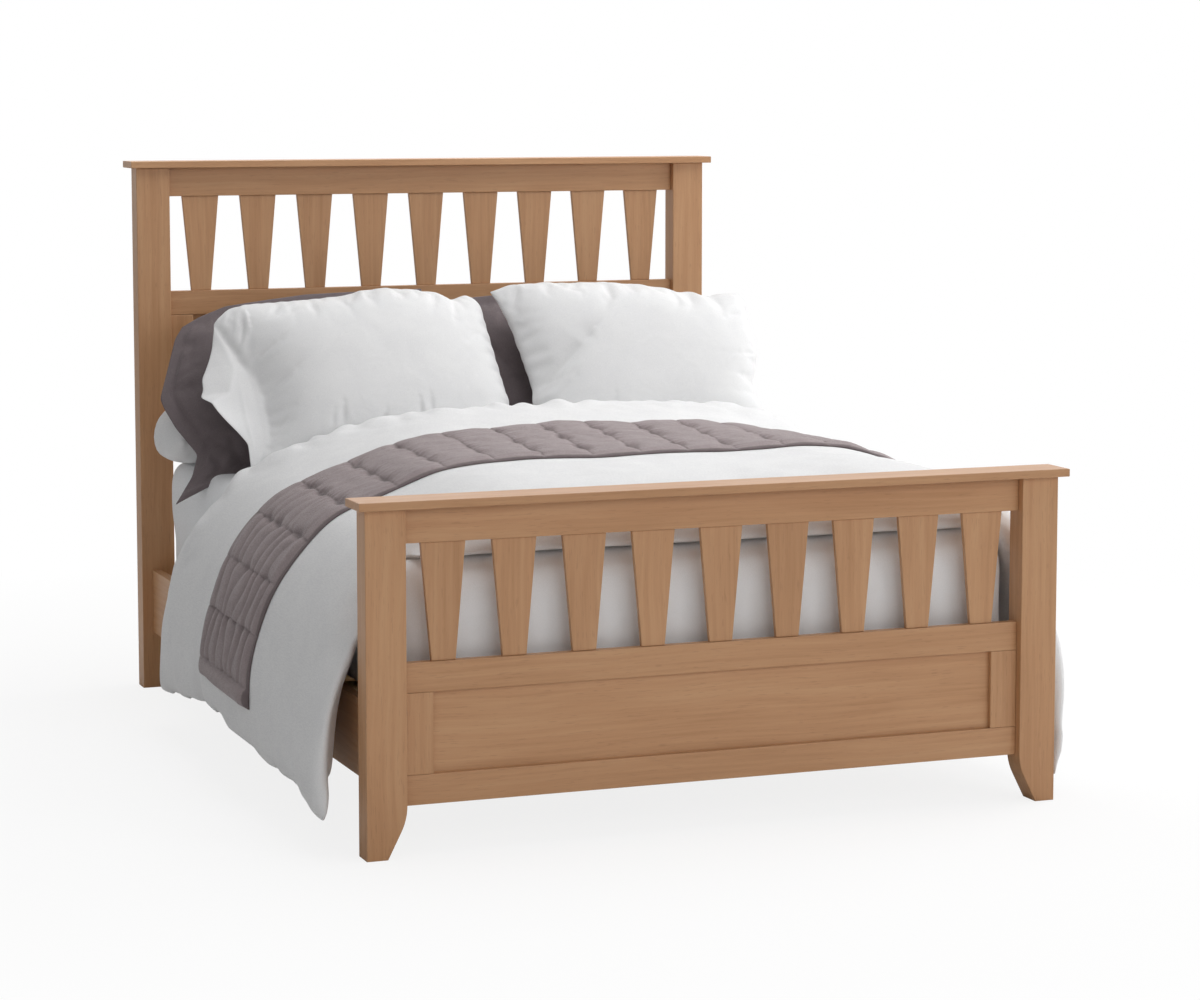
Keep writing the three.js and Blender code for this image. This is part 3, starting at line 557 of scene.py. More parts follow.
def makeDuvet():
    look = duvet
    bm = weldedCopy("duvet")
    foot = min(vert.co.y for vert in bm.verts)
    for vert in bm.verts:
        if vert.co.z < look["hemBelow"]:
            atFoot = max(1 - (vert.co.y - foot) / look["cornerReach"], 0)
            vert.co.z -= look["hemSpare"] + look["cornerSpare"] * atFoot
            vert.co.y -= look["cornerSpare"] / 2 * atFoot
    piece = newPiece("duvet_in_cover", bm, cloths["cotton_percale"])
    addModifier(piece, "SUBSURF", levels=2, render_levels=2)
    addModifier(piece, "REMESH", mode="VOXEL", voxel_size=look["voxel"])
    addModifier(piece, "SMOOTH", factor=look["smoothing"][0], iterations=look["smoothing"][1])
    applyAll(piece)
    points = coordinates(piece)
    outward = normals(piece)
    outside = easedStep(outward[:, 2], *look["outsideFrom"])
    fine = look["fineShare"] * ripple(points, look["fineSize"], 2)
    uneven = look["unevenDepth"] * (ripple(points, look["unevenSize"], 1) + fine)
    stretch = np.array([1, look["puffWidth"] / look["puffLength"], look["puffFlatness"]])
    cells = np.abs(ripple(points * stretch, look["puffWidth"], 3))
    rise, level = look["puffRise"]
    puffs = look["puffDepth"] * (rise * cells + level) * easedStep(points[:, 1], *look["puffsFrom"])
    crumples = look["crumpleDepth"] * ripple(points, look["crumpleWidth"], 8)
    points += outward * (uneven + outside * puffs)[:, None]
    points += outward * (outside * crumples * easedStep(points[:, 1], *look["crumplesFrom"]))[:, None]
    onLeft = points[:, 0] < -look["dropBeyond"]
    sagFrom, sagFull = look["sagHeights"]
    sag = alongTable(points[:, 1], look["hemSag"]) * easedStep(-points[:, 2], -sagFrom, -sagFull)
    points[:, 2] -= np.where(onLeft, sag, 0)
    edge, breadth, least = look["turnAcross"]
    inner = np.clip((points[:, 0] + edge) / breadth, least, 1)
    inner *= easedStep(-points[:, 1], *look["turnFrom"])
    points[:, 0] += np.where(onLeft, inner * alongTable(points[:, 2], look["cornerTurn"]), 0)
    amount, level, spread = look["rightBulge"]
    bulge = amount * easedStep(-points[:, 1], *look["bulgeFrom"])
    bulge *= np.exp(-((points[:, 2] - level) / spread) ** 2)
    points[:, 0] += np.where(points[:, 0] > look["dropBeyond"], bulge, 0)
    setCoordinates(piece, points)
    swell(piece, look["frames"], look["cap"], **look["cloth"])
    addModifier(piece, "SUBSURF", levels=1, render_levels=1)
    applyAll(piece)
    points = coordinates(piece)
    steep, gentle = look["foldFlanks"]
    for place, depth, breadth, top in look["dropFolds"]:
        away = np.abs(points[:, 1] - place) * np.where(points[:, 1] > place, steep, gentle) / breadth
        fold = depth * np.exp(-away ** look["foldPower"])
        fold *= easedStep(-points[:, 2], -top, -look["foldFullAt"])
        points[:, 0] += np.where(points[:, 0] < -look["dropBeyond"], fold, 0)
    setCoordinates(piece, points)
    dressed(piece, "duvet")
    return piece


# Pillows: two layers sewn round an outline and blown up inside it. An outline's points are metres
# from the pillow's middle, in its own plane; each side runs from left to right or from low to high.
pillowKinds = {
    "front": {
        "thickness": 0.180, "lean": 62, "flange": 0.0, "cell": 0.0085, "cloth": "cotton_percale",
        "slot": "white_cotton", "pressure": 2.6, "spareCloth": 0.035, "frames": 22, "cap": 0.014,
        "endFill": 2.4, "puckerDepth": 0.0042, "puckerLength": 0.040,
    },
    "grey": {
        "thickness": 0.094, "lean": 58, "flange": 0.036, "cell": 0.0095, "cloth": "dark_mauve_cotton",
        "slot": "grey_linen", "pressure": 1.5, "spareCloth": 0.03, "frames": 18, "cap": 0.012,
        "endFill": 2.4, "puckerDepth": 0.003, "puckerLength": 0.040,
    },
    "back": {
        "thickness": 0.182, "lean": 0, "flange": 0.0, "cell": 0.012, "cloth": "cotton_percale",
        "slot": "white_cotton", "pressure": 2.6, "spareCloth": 0.02, "frames": 10, "cap": 0.010,
        "endFill": 6.0, "puckerDepth": 0.003, "puckerLength": 0.045,
    },
}
pillows = [
    {
        "name": "front_pillow_left", "node": "pillow_front_left", "kind": "front", "seed": 1,
        "centre": (-0.330, 0.5796, 0.8506),
        "left": [
            (-0.325, -0.240), (-0.324, -0.161), (-0.387, -0.073), (-0.418, -0.024),
            (-0.411, -0.005), (-0.417, 0.029), (-0.372, 0.185), (-0.331, 0.221),
        ],
        "high": [
            (-0.331, 0.221), (-0.279, 0.237), (-0.115, 0.247), (-0.013, 0.257), (0.032, 0.269),
            (0.105, 0.276), (0.177, 0.269), (0.235, 0.258), (0.285, 0.237), (0.324, 0.249),
            (0.350, 0.235),
        ],
        "right": [
            (0.385, -0.240), (0.402, -0.071), (0.390, 0.025), (0.378, 0.124), (0.368, 0.204),
            (0.350, 0.235),
        ],
        "low": [(-0.325, -0.240), (0.385, -0.240)],
        # the open end of the case is empty beyond this line, and stands forward from it
        "flap": [
            (-0.300, -0.240), (-0.283, -0.113), (-0.288, -0.041), (-0.299, 0.041), (-0.325, 0.100),
            (-0.372, 0.185), (-0.331, 0.221),
        ],
        "folds": [
            ((-0.262, -0.235), (-0.285, 0.130), 0.032, 0.046),
            ((-0.303, -0.235), (-0.330, 0.080), -0.009, 0.010),
            ((-0.187, 0.021), (-0.283, -0.040), 0.012, 0.012),
            ((-0.219, 0.104), (-0.283, 0.064), 0.009, 0.011),
            ((-0.203, -0.079), (-0.288, -0.185), 0.009, 0.013),
            ((-0.120, 0.200), (-0.240, 0.170), 0.005, 0.014),
            ((-0.080, -0.085), (-0.087, -0.155), 0.006, 0.007),
            ((-0.106, -0.105), (-0.118, -0.155), 0.004, 0.007),
            ((0.030, -0.115), (0.020, -0.150), 0.004, 0.010),
            ((0.124, -0.085), (0.124, -0.145), 0.005, 0.007),
            ((0.155, -0.075), (0.153, -0.135), 0.004, 0.007),
            ((0.262, 0.150), (0.285, 0.240), 0.007, 0.010),
            ((0.350, 0.130), (0.290, 0.083), 0.005, 0.012),
        ],
    },
    {
        "name": "front_pillow_right", "node": "pillow_front_right", "kind": "front", "seed": 4,
        "centre": (0.440, 0.5796, 0.8506),
        "left": [
            (-0.300, -0.240), (-0.308, -0.072), (-0.302, -0.033), (-0.319, 0.071), (-0.333, 0.147),
            (-0.360, 0.224), (-0.375, 0.256),
        ],
        "high": [
            (-0.375, 0.256), (-0.319, 0.272), (-0.215, 0.280), (-0.043, 0.278), (0.053, 0.270),
            (0.127, 0.255), (0.160, 0.242), (0.202, 0.243), (0.242, 0.227), (0.293, 0.233),
            (0.345, 0.235),
        ],
        "right": [
            (0.350, -0.240), (0.354, -0.110), (0.345, -0.085), (0.348, -0.036), (0.372, 0.040),
            (0.366, 0.154), (0.367, 0.205), (0.345, 0.235),
        ],
        "low": [(-0.300, -0.240), (0.350, -0.240)],
        "folds": [
            ((-0.150, 0.080), (-0.305, -0.070), 0.024, 0.022),
            ((-0.200, -0.030), (-0.290, -0.120), 0.006, 0.013),
            ((0.350, 0.160), (0.270, 0.130), 0.006, 0.010),
            ((0.366, 0.040), (0.290, 0.020), 0.007, 0.011),
            ((0.350, -0.060), (0.285, -0.045), 0.006, 0.010),
            ((0.202, 0.243), (0.170, 0.160), 0.006, 0.013),
            ((-0.100, -0.090), (-0.110, -0.150), 0.004, 0.009),
        ],
    },
    {
        "name": "grey_pillow_left", "node": "pillow_grey_left", "kind": "grey", "seed": 2,
        "centre": (-0.417, 0.738, 0.853), "turn": 4.5,
        "left": [
            (-0.450, -0.318), (-0.385, -0.240), (-0.358, -0.181), (-0.398, -0.101),
            (-0.417, -0.040), (-0.421, -0.011), (-0.343, 0.158), (-0.314, 0.193),
        ],
        "high": [
            (-0.314, 0.193), (-0.259, 0.219), (-0.182, 0.243), (-0.068, 0.250), (0.044, 0.255),
            (0.154, 0.250), (0.372, 0.238),
        ],
        "right": [(0.372, -0.232), (0.384, -0.100), (0.388, 0.0), (0.384, 0.100), (0.372, 0.238)],
        "low": [(-0.450, -0.318), (-0.356, -0.282), (-0.280, -0.256), (-0.200, -0.240), (0.372, -0.232)],
        "folds": [
            ((-0.342, 0.033), (-0.291, 0.161), 0.006, 0.014),
            ((-0.325, -0.135), (-0.255, -0.200), 0.008, 0.012),
            ((-0.335, -0.172), (-0.290, -0.240), 0.006, 0.010),
            ((-0.250, -0.060), (-0.240, -0.150), 0.006, 0.016),
            ((-0.438, -0.300), (-0.330, -0.262), -0.011, 0.014),
            ((-0.330, -0.262), (-0.270, -0.240), -0.007, 0.012),
        ],
    },
    {
        "name": "grey_pillow_right", "node": "pillow_grey_right", "kind": "grey", "seed": 5,
        "centre": (0.367, 0.738, 0.853),
        "left": [(-0.370, -0.232), (-0.384, -0.100), (-0.388, 0.0), (-0.384, 0.100), (-0.370, 0.230)],
        "high": [(-0.370, 0.230), (-0.200, 0.243), (0.0, 0.250), (0.200, 0.246), (0.368, 0.232)],
        "right": [(0.372, -0.232), (0.384, -0.100), (0.388, 0.0), (0.384, 0.100), (0.368, 0.232)],
        "low": [(-0.370, -0.232), (0.0, -0.240), (0.372, -0.232)],
        "folds": [
            ((-0.330, 0.150), (-0.240, -0.020), 0.007, 0.016),
            ((0.30, 0.12), (0.22, 0.02), 0.006, 0.016),
        ],
    },
    {
        "name": "back_pillow_left", "node": "pillow_back_left", "kind": "back", "seed": 3,
        "centre": (-0.414, 0.860, 0.722), "droop": 0.028,
        "left": [(-0.362, -0.136), (-0.392, -0.060), (-0.394, 0.060), (-0.362, 0.136)],
        "high": [(-0.352, 0.136), (-0.150, 0.142), (0.150, 0.142), (0.352, 0.136)],
        "right": [(0.352, -0.136), (0.372, -0.060), (0.372, 0.060), (0.352, 0.136)],
        "low": [(-0.352, -0.136), (-0.150, -0.142), (0.150, -0.142), (0.352, -0.136)],
        "folds": [((-0.340, 0.040), (-0.260, 0.020), 0.006, 0.012)],
    },
    {
        "name": "back_pillow_right", "node": "pillow_back_right", "kind": "back", "seed": 6,
        "centre": (0.354, 0.860, 0.722),
        "left": [(-0.352, -0.136), (-0.372, -0.060), (-0.372, 0.060), (-0.352, 0.136)],
        "high": [(-0.352, 0.136), (-0.150, 0.142), (0.150, 0.142), (0.352, 0.136)],
        "right": [(0.352, -0.136), (0.374, -0.060), (0.374, 0.060), (0.352, 0.136)],
        "low": [(-0.352, -0.136), (-0.150, -0.142), (0.150, -0.142), (0.352, -0.136)],
        "folds": [((0.340, -0.040), (0.260, -0.010), 0.006, 0.012)],
    },
]
everyPillow = {
    "fill": 0.7,
    "cloth": {
        "quality": 5, "mass": 0.25, "use_pressure": True, "vertex_group_mass": "sewn",
        "tension_stiffness": 15, "compression_stiffness": 15, "shear_stiffness": 5,
        "bending_stiffness": 0.35,
    },
    "quickFrames": 3,
    "layerGap": 0.003,
    "sideFill": 2.4,
    "rimBeyond": 0.4999,            # of the grid, from its middle
    "weldWithin": 0.0002,
    "sidePuckers": 0.3,             # puckers are that much weaker along the long sides
    "puckerReach": 0.028,
    "puckerStart": 0.008,
    "puckerWander": (5, 0.09, 0.3),     # strength, size, and the step between the two layers
    "foldEnds": (0.12, 0.88),
    "foldFlanks": (0.65, 1.5),
    "foldPower": 1.5,
    "droopFrom": 0.68,
    "droopOver": 0.12,
    "droopPower": 1.5,
}
flap = {
    "stand": 0.42,
    "spread": [(-0.10, 0.24), (0.0, 0.12), (0.12, -0.12)],      # height, share that it is pulled outwards
    # height, and the distance from the crease where it turns back
    "turnsBack": [(-0.12, 0.20), (-0.02, 0.060), (0.06, 0.032), (0.185, 0.010)],
    "backwards": 1.8,
    "wave": 0.005,
    "waveTurn": 31,
    "waveFullAt": 0.06,
}


def alongSide(points, share, axis):
    # places on one side of the outline, evenly spaced along one axis
    points = np.array(points)
    along = points[0, axis] + (points[-1, axis] - points[0, axis]) * share
    across = np.interp(along, points[:, axis], points[:, 1 - axis])
    return np.stack((along, across) if axis == 0 else (across, along), axis=1)


def outlineGrid(look, u, v):
    # the four sides blended over the grid, less the corners that both blends hold
    left, right = alongSide(look["left"], v, 1), alongSide(look["right"], v, 1)
    low, high = alongSide(look["low"], u, 0), alongSide(look["high"], u, 0)
    u, v = u[:, None], v[:, None]
    corners = [np.array(look[end][place]) for end in ("low", "high") for place in (0, -1)]
    lowBlend = corners[0] * (1 - u) + corners[1] * u
    highBlend = corners[2] * (1 - u) + corners[3] * u
    return left * (1 - u) + right * u + (low - lowBlend) * (1 - v) + (high - highBlend) * v


def foldDepths(folds, points):
    # each fold runs from one place to another, with its depth and half its breadth; its flank on
    # the right of the way is gentle and the other one steep
    total = np.zeros(len(points))
    for start, end, depth, breadth in folds:
        run = np.subtract(end, start)
        offset = points[:, :2] - start
        share = np.clip(offset @ run / (run @ run), 0, 1)
        away = np.linalg.norm(offset - share[:, None] * run, axis=1)
        toRight = run[1] * offset[:, 0] - run[0] * offset[:, 1] > 0
        away *= np.where(toRight, *everyPillow["foldFlanks"])
        along = np.sin(np.pi * np.clip(share, *everyPillow["foldEnds"]))
        total += depth * np.exp(-(away / breadth) ** everyPillow["foldPower"]) * along
    return total


def openFlap(points, crease):
    # the open end of a pillow case swings forwards from its crease, and back again at its edge
    beyond = np.clip(crease - points[:, 0], 0, None)
    back = np.clip(beyond - alongTable(points[:, 1], flap["turnsBack"]), 0, None)
    waves = np.sin(points[:, 1] * flap["waveTurn"]) * np.clip(beyond / flap["waveFullAt"], 0, 1)
    points[:, 0] -= alongTable(points[:, 1], flap["spread"]) * beyond
    points[:, 2] += flap["stand"] * (beyond - flap["backwards"] * back)
    points[:, 2] += flap["wave"] * waves


def makePillow(look):
    kind = pillowKinds[look["kind"]]
    every = everyPillow
    gap = every["layerGap"]
    flange = kind["flange"]
    bm = bmesh.new()
    under = twoLayers(bm, round((look["low"][-1][0] - look["low"][0][0]) / kind["cell"]),
                      round((look["left"][-1][1] - look["left"][0][1]) / kind["cell"]))
    side = np.array([-1 if vert in under else 1 for vert in bm.verts])
    u = np.array([vert.co.x + 0.5 for vert in bm.verts])
    v = np.array([vert.co.y + 0.5 for vert in bm.verts])
    x, y = outlineGrid(look, u, v).T
    leftEdge = alongSide(look["left"], v, 1)[:, 0] + flange
    rightEdge = alongSide(look["right"], v, 1)[:, 0] - flange
    lowEdge = alongSide(look["low"], u, 0)[:, 1] + flange
    highEdge = alongSide(look["high"], u, 0)[:, 1] - flange
    if "flap" in look:
        flapLine = np.array(look["flap"])[:, ::-1]
        leftEdge = alongTable(y, flapLine)
    across = np.clip(2 * (x - leftEdge) / (rightEdge - leftEdge) - 1, -1, 1)
    upward = np.clip(2 * (y - lowEdge) / (highEdge - lowEdge) - 1, -1, 1)
    full = np.sqrt((1 - np.abs(across) ** kind["endFill"]) * (1 - np.abs(upward) ** every["sideFill"]))
    rim = (np.abs(u - 0.5) > every["rimBeyond"]) | (np.abs(v - 0.5) > every["rimBeyond"])
    gaps = np.stack([x - leftEdge, rightEdge - x, y - lowEdge, highEdge - y])
    toSeam = np.clip(gaps.min(axis=0), 0, None)
    atEnd = gaps.argmin(axis=0) < 2
    alongSeam = np.where(atEnd, y, x)
    strength, size, layerStep = every["puckerWander"]
    wander = ripple(np.stack([alongSeam, side * layerStep, x * 0], axis=1), size, look["seed"])
    waves = 0.5 + 0.5 * np.sin(2 * math.pi * alongSeam / kind["puckerLength"] + strength * wander)
    pucker = kind["puckerDepth"] * np.where(atEnd, 1, every["sidePuckers"]) * waves
    pucker *= np.exp(-toSeam / every["puckerReach"]) * (1 - np.exp(-toSeam / every["puckerStart"]))
    half = gap / 2 + (kind["thickness"] - gap) / 2 * full
    z = side * np.where(rim, 0, np.maximum(half - pucker, gap / 2))
    for vert, place in zip(bm.verts, zip(x, y, z)):
        vert.co = place
    bmesh.ops.remove_doubles(bm, verts=bm.verts, dist=every["weldWithin"])
    piece = newPiece(look["name"], bm, cloths[kind["cloth"]])
    flat = np.flatnonzero(np.abs(coordinates(piece)[:, 2]) < gap)
    piece.vertex_groups.new(name="sewn").add(flat.tolist(), 1.0, "REPLACE")
    swell(piece, kind["frames"], kind["cap"],
          uniform_pressure_force=kind["pressure"], shrink_min=-kind["spareCloth"],
          shrink_max=-kind["spareCloth"], **every["cloth"])
    addModifier(piece, "SUBSURF", levels=1, render_levels=1)
    applyAll(piece)
    points = coordinates(piece)
    height = points[:, 2]
    folded = np.maximum(height - foldDepths(look["folds"], points), np.minimum(height, gap / 2))
    points[:, 2] = np.where(height > 0, folded, height)
    if "flap" in look:
        openFlap(points, alongTable(points[:, 1], flapLine))
    setCoordinates(piece, points)
    turn = Matrix.Rotation(math.radians(kind["lean"]), 4, "X")
    turn = turn @ Matrix.Rotation(math.radians(look.get("turn", 0)), 4, "Z")
    piece.data.transform(Matrix.Translation(look["centre"]) @ turn)
    points = coordinates(piece)
    overSide = np.clip((np.abs(points[:, 0]) - every["droopFrom"]) / every["droopOver"], 0, 1)
    points[:, 2] -= look.get("droop", 0) * overSide ** every["droopPower"]
    setCoordinates(piece, points)
    dressed(piece, look["node"])


# Runner: a quilted band laid over the duvet, sewn across every 12 cm. The stitches are pulled
# tight in a few spots, the hanging parts fall in ridges, and the left end is turned up as a roll.
runner = {
    "fill": 0.5,
    "columnStep": 0.0054,
    "rowStep": 0.0046,
    "crowding": 0.55,               # how much closer the columns stand at a stitch
    "footEdge": -0.467,
    "headEdge": -0.006,
    "edgeWave": 0.005,
    "edgeWaveLength": 0.42,
    "edgeWaveLag": 2,
    "axisHeight": 0.42,             # the band is laid round an axis along the bed
    "castFrom": 2,
    "sweep": 106,                   # degrees on each side of straight up
    "sweepSteps": 481,
    "endHeights": (0.226, 0.222),
    "pointedCorner": (0.004, 0.14),     # how much lower, and over which share of the breadth
    "hangs": (0.70, 0.54),          # heights where it begins to hang and hangs free
    "gap": 0.002,
    "thinnest": 0.0015,
    "channel": 0.1225,
    "roll": 0.045,
    "rollHeight": 0.019,
    "rollBase": 0.004,
    "rollThins": (0.75, 6),         # towards the head edge: by how much, and how late
    "rollBorder": 0.5,
    "puffTop": (0.0050, 0.0085),    # height at a stitch, and the puff's rise over it
    "puffDrop": (0.0085, 0.0060),
    "puffShoulder": 0.32,
    "tucks": [0.22, 0.50, 0.79],
    "tuckDepth": 0.0145,
    "tuckBreadth": 0.028,
    "tuckLength": 0.015,
    "tuckHanging": 0.5,             # weaker by that share where the band hangs
    # how the tucks differ: amount, turn from stitch to stitch, and from spot to spot
    "tuckShift": (0.05, 7.1, 11),
    "tuckLean": (0.8, 3.3, 17),
    "tuckStrength": (0.35, 5.3, 23),
    "ridgeWidth": 0.060,
    "ridgeDepth": 0.0095,
    "ridgePower": 0.8,
    "ridgeStep": 0.37,
    "ridgeWander": 0.7,
    # strength of each drift, and its steps from channel to channel, across and inside one
    "ridgeDrift": [(1, 1.7, 3, 1), (0.5, 2.9, 8, 0.7)],
    "ridgeFade": 0.45,              # depth at the upper stitch, of that at the lower one
    # painted shade in the grooves of the hanging ridges
    "ridgeShade": 0.35,
    "pleat": 0.0016,
    "pleatWidth": 0.034,
    "pleatLength": 0.026,
    "pleatWander": (9, 2.3, 14, 0.4),       # strength, and the place in the noise
    "pleatHanging": 0.6,
    "uneven": 0.0022,
    "unevenPlace": (3, 9, 2.2),
    "seamWidth": 0.0042,
    "seamSpread": 1.3,              # a tuck makes the seam that much wider
    "seamShade": 0.3,
    "seamHanging": 0.4,
    # a painted shadow line along both long edges, where the band lifts off the duvet: its width and
    # darkness
    "edgeShadowWidth": 0.005,
    "edgeShadowDarkness": 0.6,
    "border": (0.032, 0.15, 0.6),   # the wadding thins out this far from the long edges, to this share
}


def surfaceHit(tree, y, angle):
    # first point from outside, towards the axis along the bed
    direction = Vector((math.sin(angle), 0, math.cos(angle)))
    start = Vector((0, y, runner["axisHeight"])) + direction * runner["castFrom"]
    return tree.ray_cast(start, -direction)[0:2]


def anglesBetweenEnds(tree, y, heights, shares):
    # shares of the way over the duvet from end to end, as angles from the axis, and its length
    angles = np.radians(np.linspace(-runner["sweep"], runner["sweep"], runner["sweepSteps"]))
    line = np.array([surfaceHit(tree, y, angle)[0] for angle in angles])
    arc = np.concatenate([[0], np.cumsum(np.linalg.norm(np.diff(line, axis=0), axis=1))])
    half = len(angles) // 2
    start = np.interp(heights[0], line[:half, 2], arc[:half])
    end = np.interp(-heights[1], -line[half:, 2], arc[half:])
    return np.interp(start + (end - start) * shares, arc, angles), end - start


def tucksAt(share, stitch, pastStitch):
    # how tight the stitches are pulled at one place across the band
    look = runner
    pulled = 0
    for spot in look["tucks"]:
        shift, lean, uneven = [amount * math.sin(byStitch * stitch + bySpot * spot)
                               for amount, byStitch, bySpot in
                               (look["tuckShift"], look["tuckLean"], look["tuckStrength"])]
        away = (share - (spot + shift)) * (look["headEdge"] - look["footEdge"]) + lean * pastStitch
        strength = 1 - look["tuckStrength"][0] + uneven
        pulled += strength * math.exp(-(away / look["tuckBreadth"]) ** 2)
    return pulled


def runnerForm(along, share, hang):
    # height over the duvet, and how dark the band is painted at one place of it: a seam's dark thread with
    # painted shade in its groove, a painted shadow along the long edges, and painted shade in the grooves
    # of the hanging ridges
    look = runner
    breadth = look["headEdge"] - look["footEdge"]
    toEdge = min(share, 1 - share) * breadth
    borderWidth, thinnest, power = look["border"]
    border = thinnest + (1 - thinnest) * min(toEdge / borderWidth, 1) ** power
    # painted shadow along both long edges
    edgeShadow = look["edgeShadowDarkness"] if toEdge < look["edgeShadowWidth"] else 0
    if along < look["roll"]:
        thins, late = look["rollThins"]
        bulge = math.sqrt(max(1 - (2 * along / look["roll"] - 1) ** 2, 0)) * (1 - thins * share ** late)
        height = look["rollBase"] + look["rollHeight"] * bulge
        return look["gap"] + height * border ** look["rollBorder"], edgeShadow
    place = (along - look["roll"]) / look["channel"]
    channel = math.floor(place)
    stitch = math.floor(place + 0.5)
    inside = place - channel
    toStitch = min(inside, 1 - inside) * look["channel"]
    low, rise = [top * (1 - hang) + drop * hang for top, drop in zip(look["puffTop"], look["puffDrop"])]
    height = low + rise * abs(math.sin(math.pi * inside)) ** look["puffShoulder"]
    pulled = tucksAt(share, stitch, (inside - round(inside)) * look["channel"])
    atStitch = math.exp(-(toStitch / look["tuckLength"]) ** 2)
    height -= look["tuckDepth"] * pulled * atStitch * (1 - look["tuckHanging"] * hang)
    drift = 0
    for strength, byChannel, byShare, byInside in look["ridgeDrift"]:
        drift += strength * noise.noise(Vector((channel * byChannel, share * byShare, inside * byInside)))
    turns = share * breadth / look["ridgeWidth"] + look["ridgeStep"] * channel + look["ridgeWander"] * drift
    groove = 1 - abs(math.sin(math.pi * turns)) ** look["ridgePower"]
    fade = look["ridgeFade"] + (1 - look["ridgeFade"]) * inside
    height -= look["ridgeDepth"] * hang * groove * fade
    strength, byStitch, byShare, level = look["pleatWander"]
    wander = noise.noise(Vector((stitch * byStitch, share * byShare, level)))
    pleat = math.sin(2 * math.pi * share * breadth / look["pleatWidth"] + strength * wander)
    pleat *= look["pleat"] * math.exp(-toStitch / look["pleatLength"])
    height += pleat * (1 - look["pleatHanging"] * hang)
    byPlace, byShare, level = look["unevenPlace"]
    height += look["uneven"] * (1 - hang) * noise.noise(Vector((place * byPlace, share * byShare, level)))
    # the seam's dark thread with painted shade in its groove: wider and darker where a tuck pulls it tight
    thread = math.exp(-(toStitch / look["seamWidth"] / (1 + look["seamSpread"] * pulled)) ** 2)
    thread *= look["seamShade"] + (1 - look["seamShade"]) * min(pulled, 1)
    # the darkest of the seam thread, the painted edge shadow and the painted shade in the hanging ridges'
    # grooves
    threadAndPaintedShade = max(edgeShadow, thread * (1 - look["seamHanging"] * hang), look["ridgeShade"] * hang * groove * fade)
    return look["gap"] + max(height, look["thinnest"]) * border, threadAndPaintedShade


def makeRunner(under):
    look = runner
    tree = BVHTree.FromObject(under, bpy.context.evaluated_depsgraph_get())
    breadth = look["headEdge"] - look["footEdge"]
    rows = round(breadth / look["rowStep"])
    middle = look["headEdge"] - breadth / 2
    whole = anglesBetweenEnds(tree, middle, look["endHeights"], np.array([0, 1]))[1]
    columns = round(whole / look["columnStep"])
    places = np.linspace(0, whole, columns + 1)
    wave = np.sin(2 * math.pi * (places - look["roll"]) / look["channel"])
    inner = (places > look["roll"]) & (places < whole - look["columnStep"])
    places -= np.where(inner, look["crowding"] * look["channel"] * wave / (2 * math.pi), 0)
    lower, over = look["pointedCorner"]
    angles = []
    for row in range(rows + 1):
        corner = lower * max(1 - row / rows / over, 0)
        heights = (look["endHeights"][0] - corner, look["endHeights"][1])
        y = look["footEdge"] + breadth * (row / rows)
        angles.append(anglesBetweenEnds(tree, y, heights, places / whole)[0])
    bm = bmesh.new()
    # per point: how much dark seam thread and painted shade shows
    threadAndPaintedShadeLayer = bm.verts.layers.float.new("threadAndPaintedShade")
    lining = twoLayers(bm, columns, rows)
    hangsFrom, hangsFree = look["hangs"]
    pairs = {}
    for vert in bm.verts:
        cell = round((vert.co.y + 0.5) * rows), round((vert.co.x + 0.5) * columns)
        pairs.setdefault(cell, []).append(vert)
    for (row, column), pair in pairs.items():
        share, along = row / rows, places[column]
        sway = look["edgeWave"] * math.sin(
            2 * math.pi * along / look["edgeWaveLength"] + look["edgeWaveLag"] * share)
        point, normal = surfaceHit(tree, look["footEdge"] + breadth * share + sway, angles[row][column])
        hang = min(max((hangsFrom - point.z) / (hangsFrom - hangsFree), 0), 1)
        height, threadAndPaintedShade = runnerForm(along, share, hang)
        for vert in pair:
            vert[threadAndPaintedShadeLayer] = threadAndPaintedShade
            vert.co = point + normal * (look["gap"] / 2 if vert in lining else height)
    rims = [edge for edge in bm.edges if edge.is_boundary]
    bmesh.ops.bridge_loops(bm, edges=rims)
    bmesh.ops.recalc_face_normals(bm, faces=bm.faces)
    piece = newPiece("quilted_runner", bm, cloths["mauve_cotton"])
    dressed(piece, "runner")


makeMattress()
makeRunner(makeDuvet())
for pillow in pillows:
    makePillow(pillow)
print(f"soft pieces made, {time.time() - started:.0f} s")


# Camera at the photograph's angle
cameraPlace = {
    "place": (-2.7227, -7.3760, 1.6368),
    "turn": 0.36760,
    "dip": 0.10468,
    "lens": 95.379,
    "sensor": 36,
    "shift": -0.07,
    "sees": 100,
}


def makeCamera():
    data = bpy.data.cameras.new("camera")
    data.sensor_width = cameraPlace["sensor"]
    data.lens = cameraPlace["lens"]
    data.shift_y = cameraPlace["shift"]
    data.clip_end = cameraPlace["sees"]
    camera = bpy.data.objects.new("camera", data)
    camera.location = cameraPlace["place"]
    camera.rotation_euler = Euler((math.pi / 2 - cameraPlace["dip"], 0, -cameraPlace["turn"]))
    scene.collection.objects.link(camera)
    scene.camera = camera


# Stage: a pale floor that shows white to the camera but keeps the shadow
stageLook = {
    "size": 60,
    "colour": "F4F4F4",
    "whiteShare": 0.84,
    "whiteFrom": 1.3,           # metres from the middle where it starts to fade to pure white
    "whiteBeyond": 3.2,
}


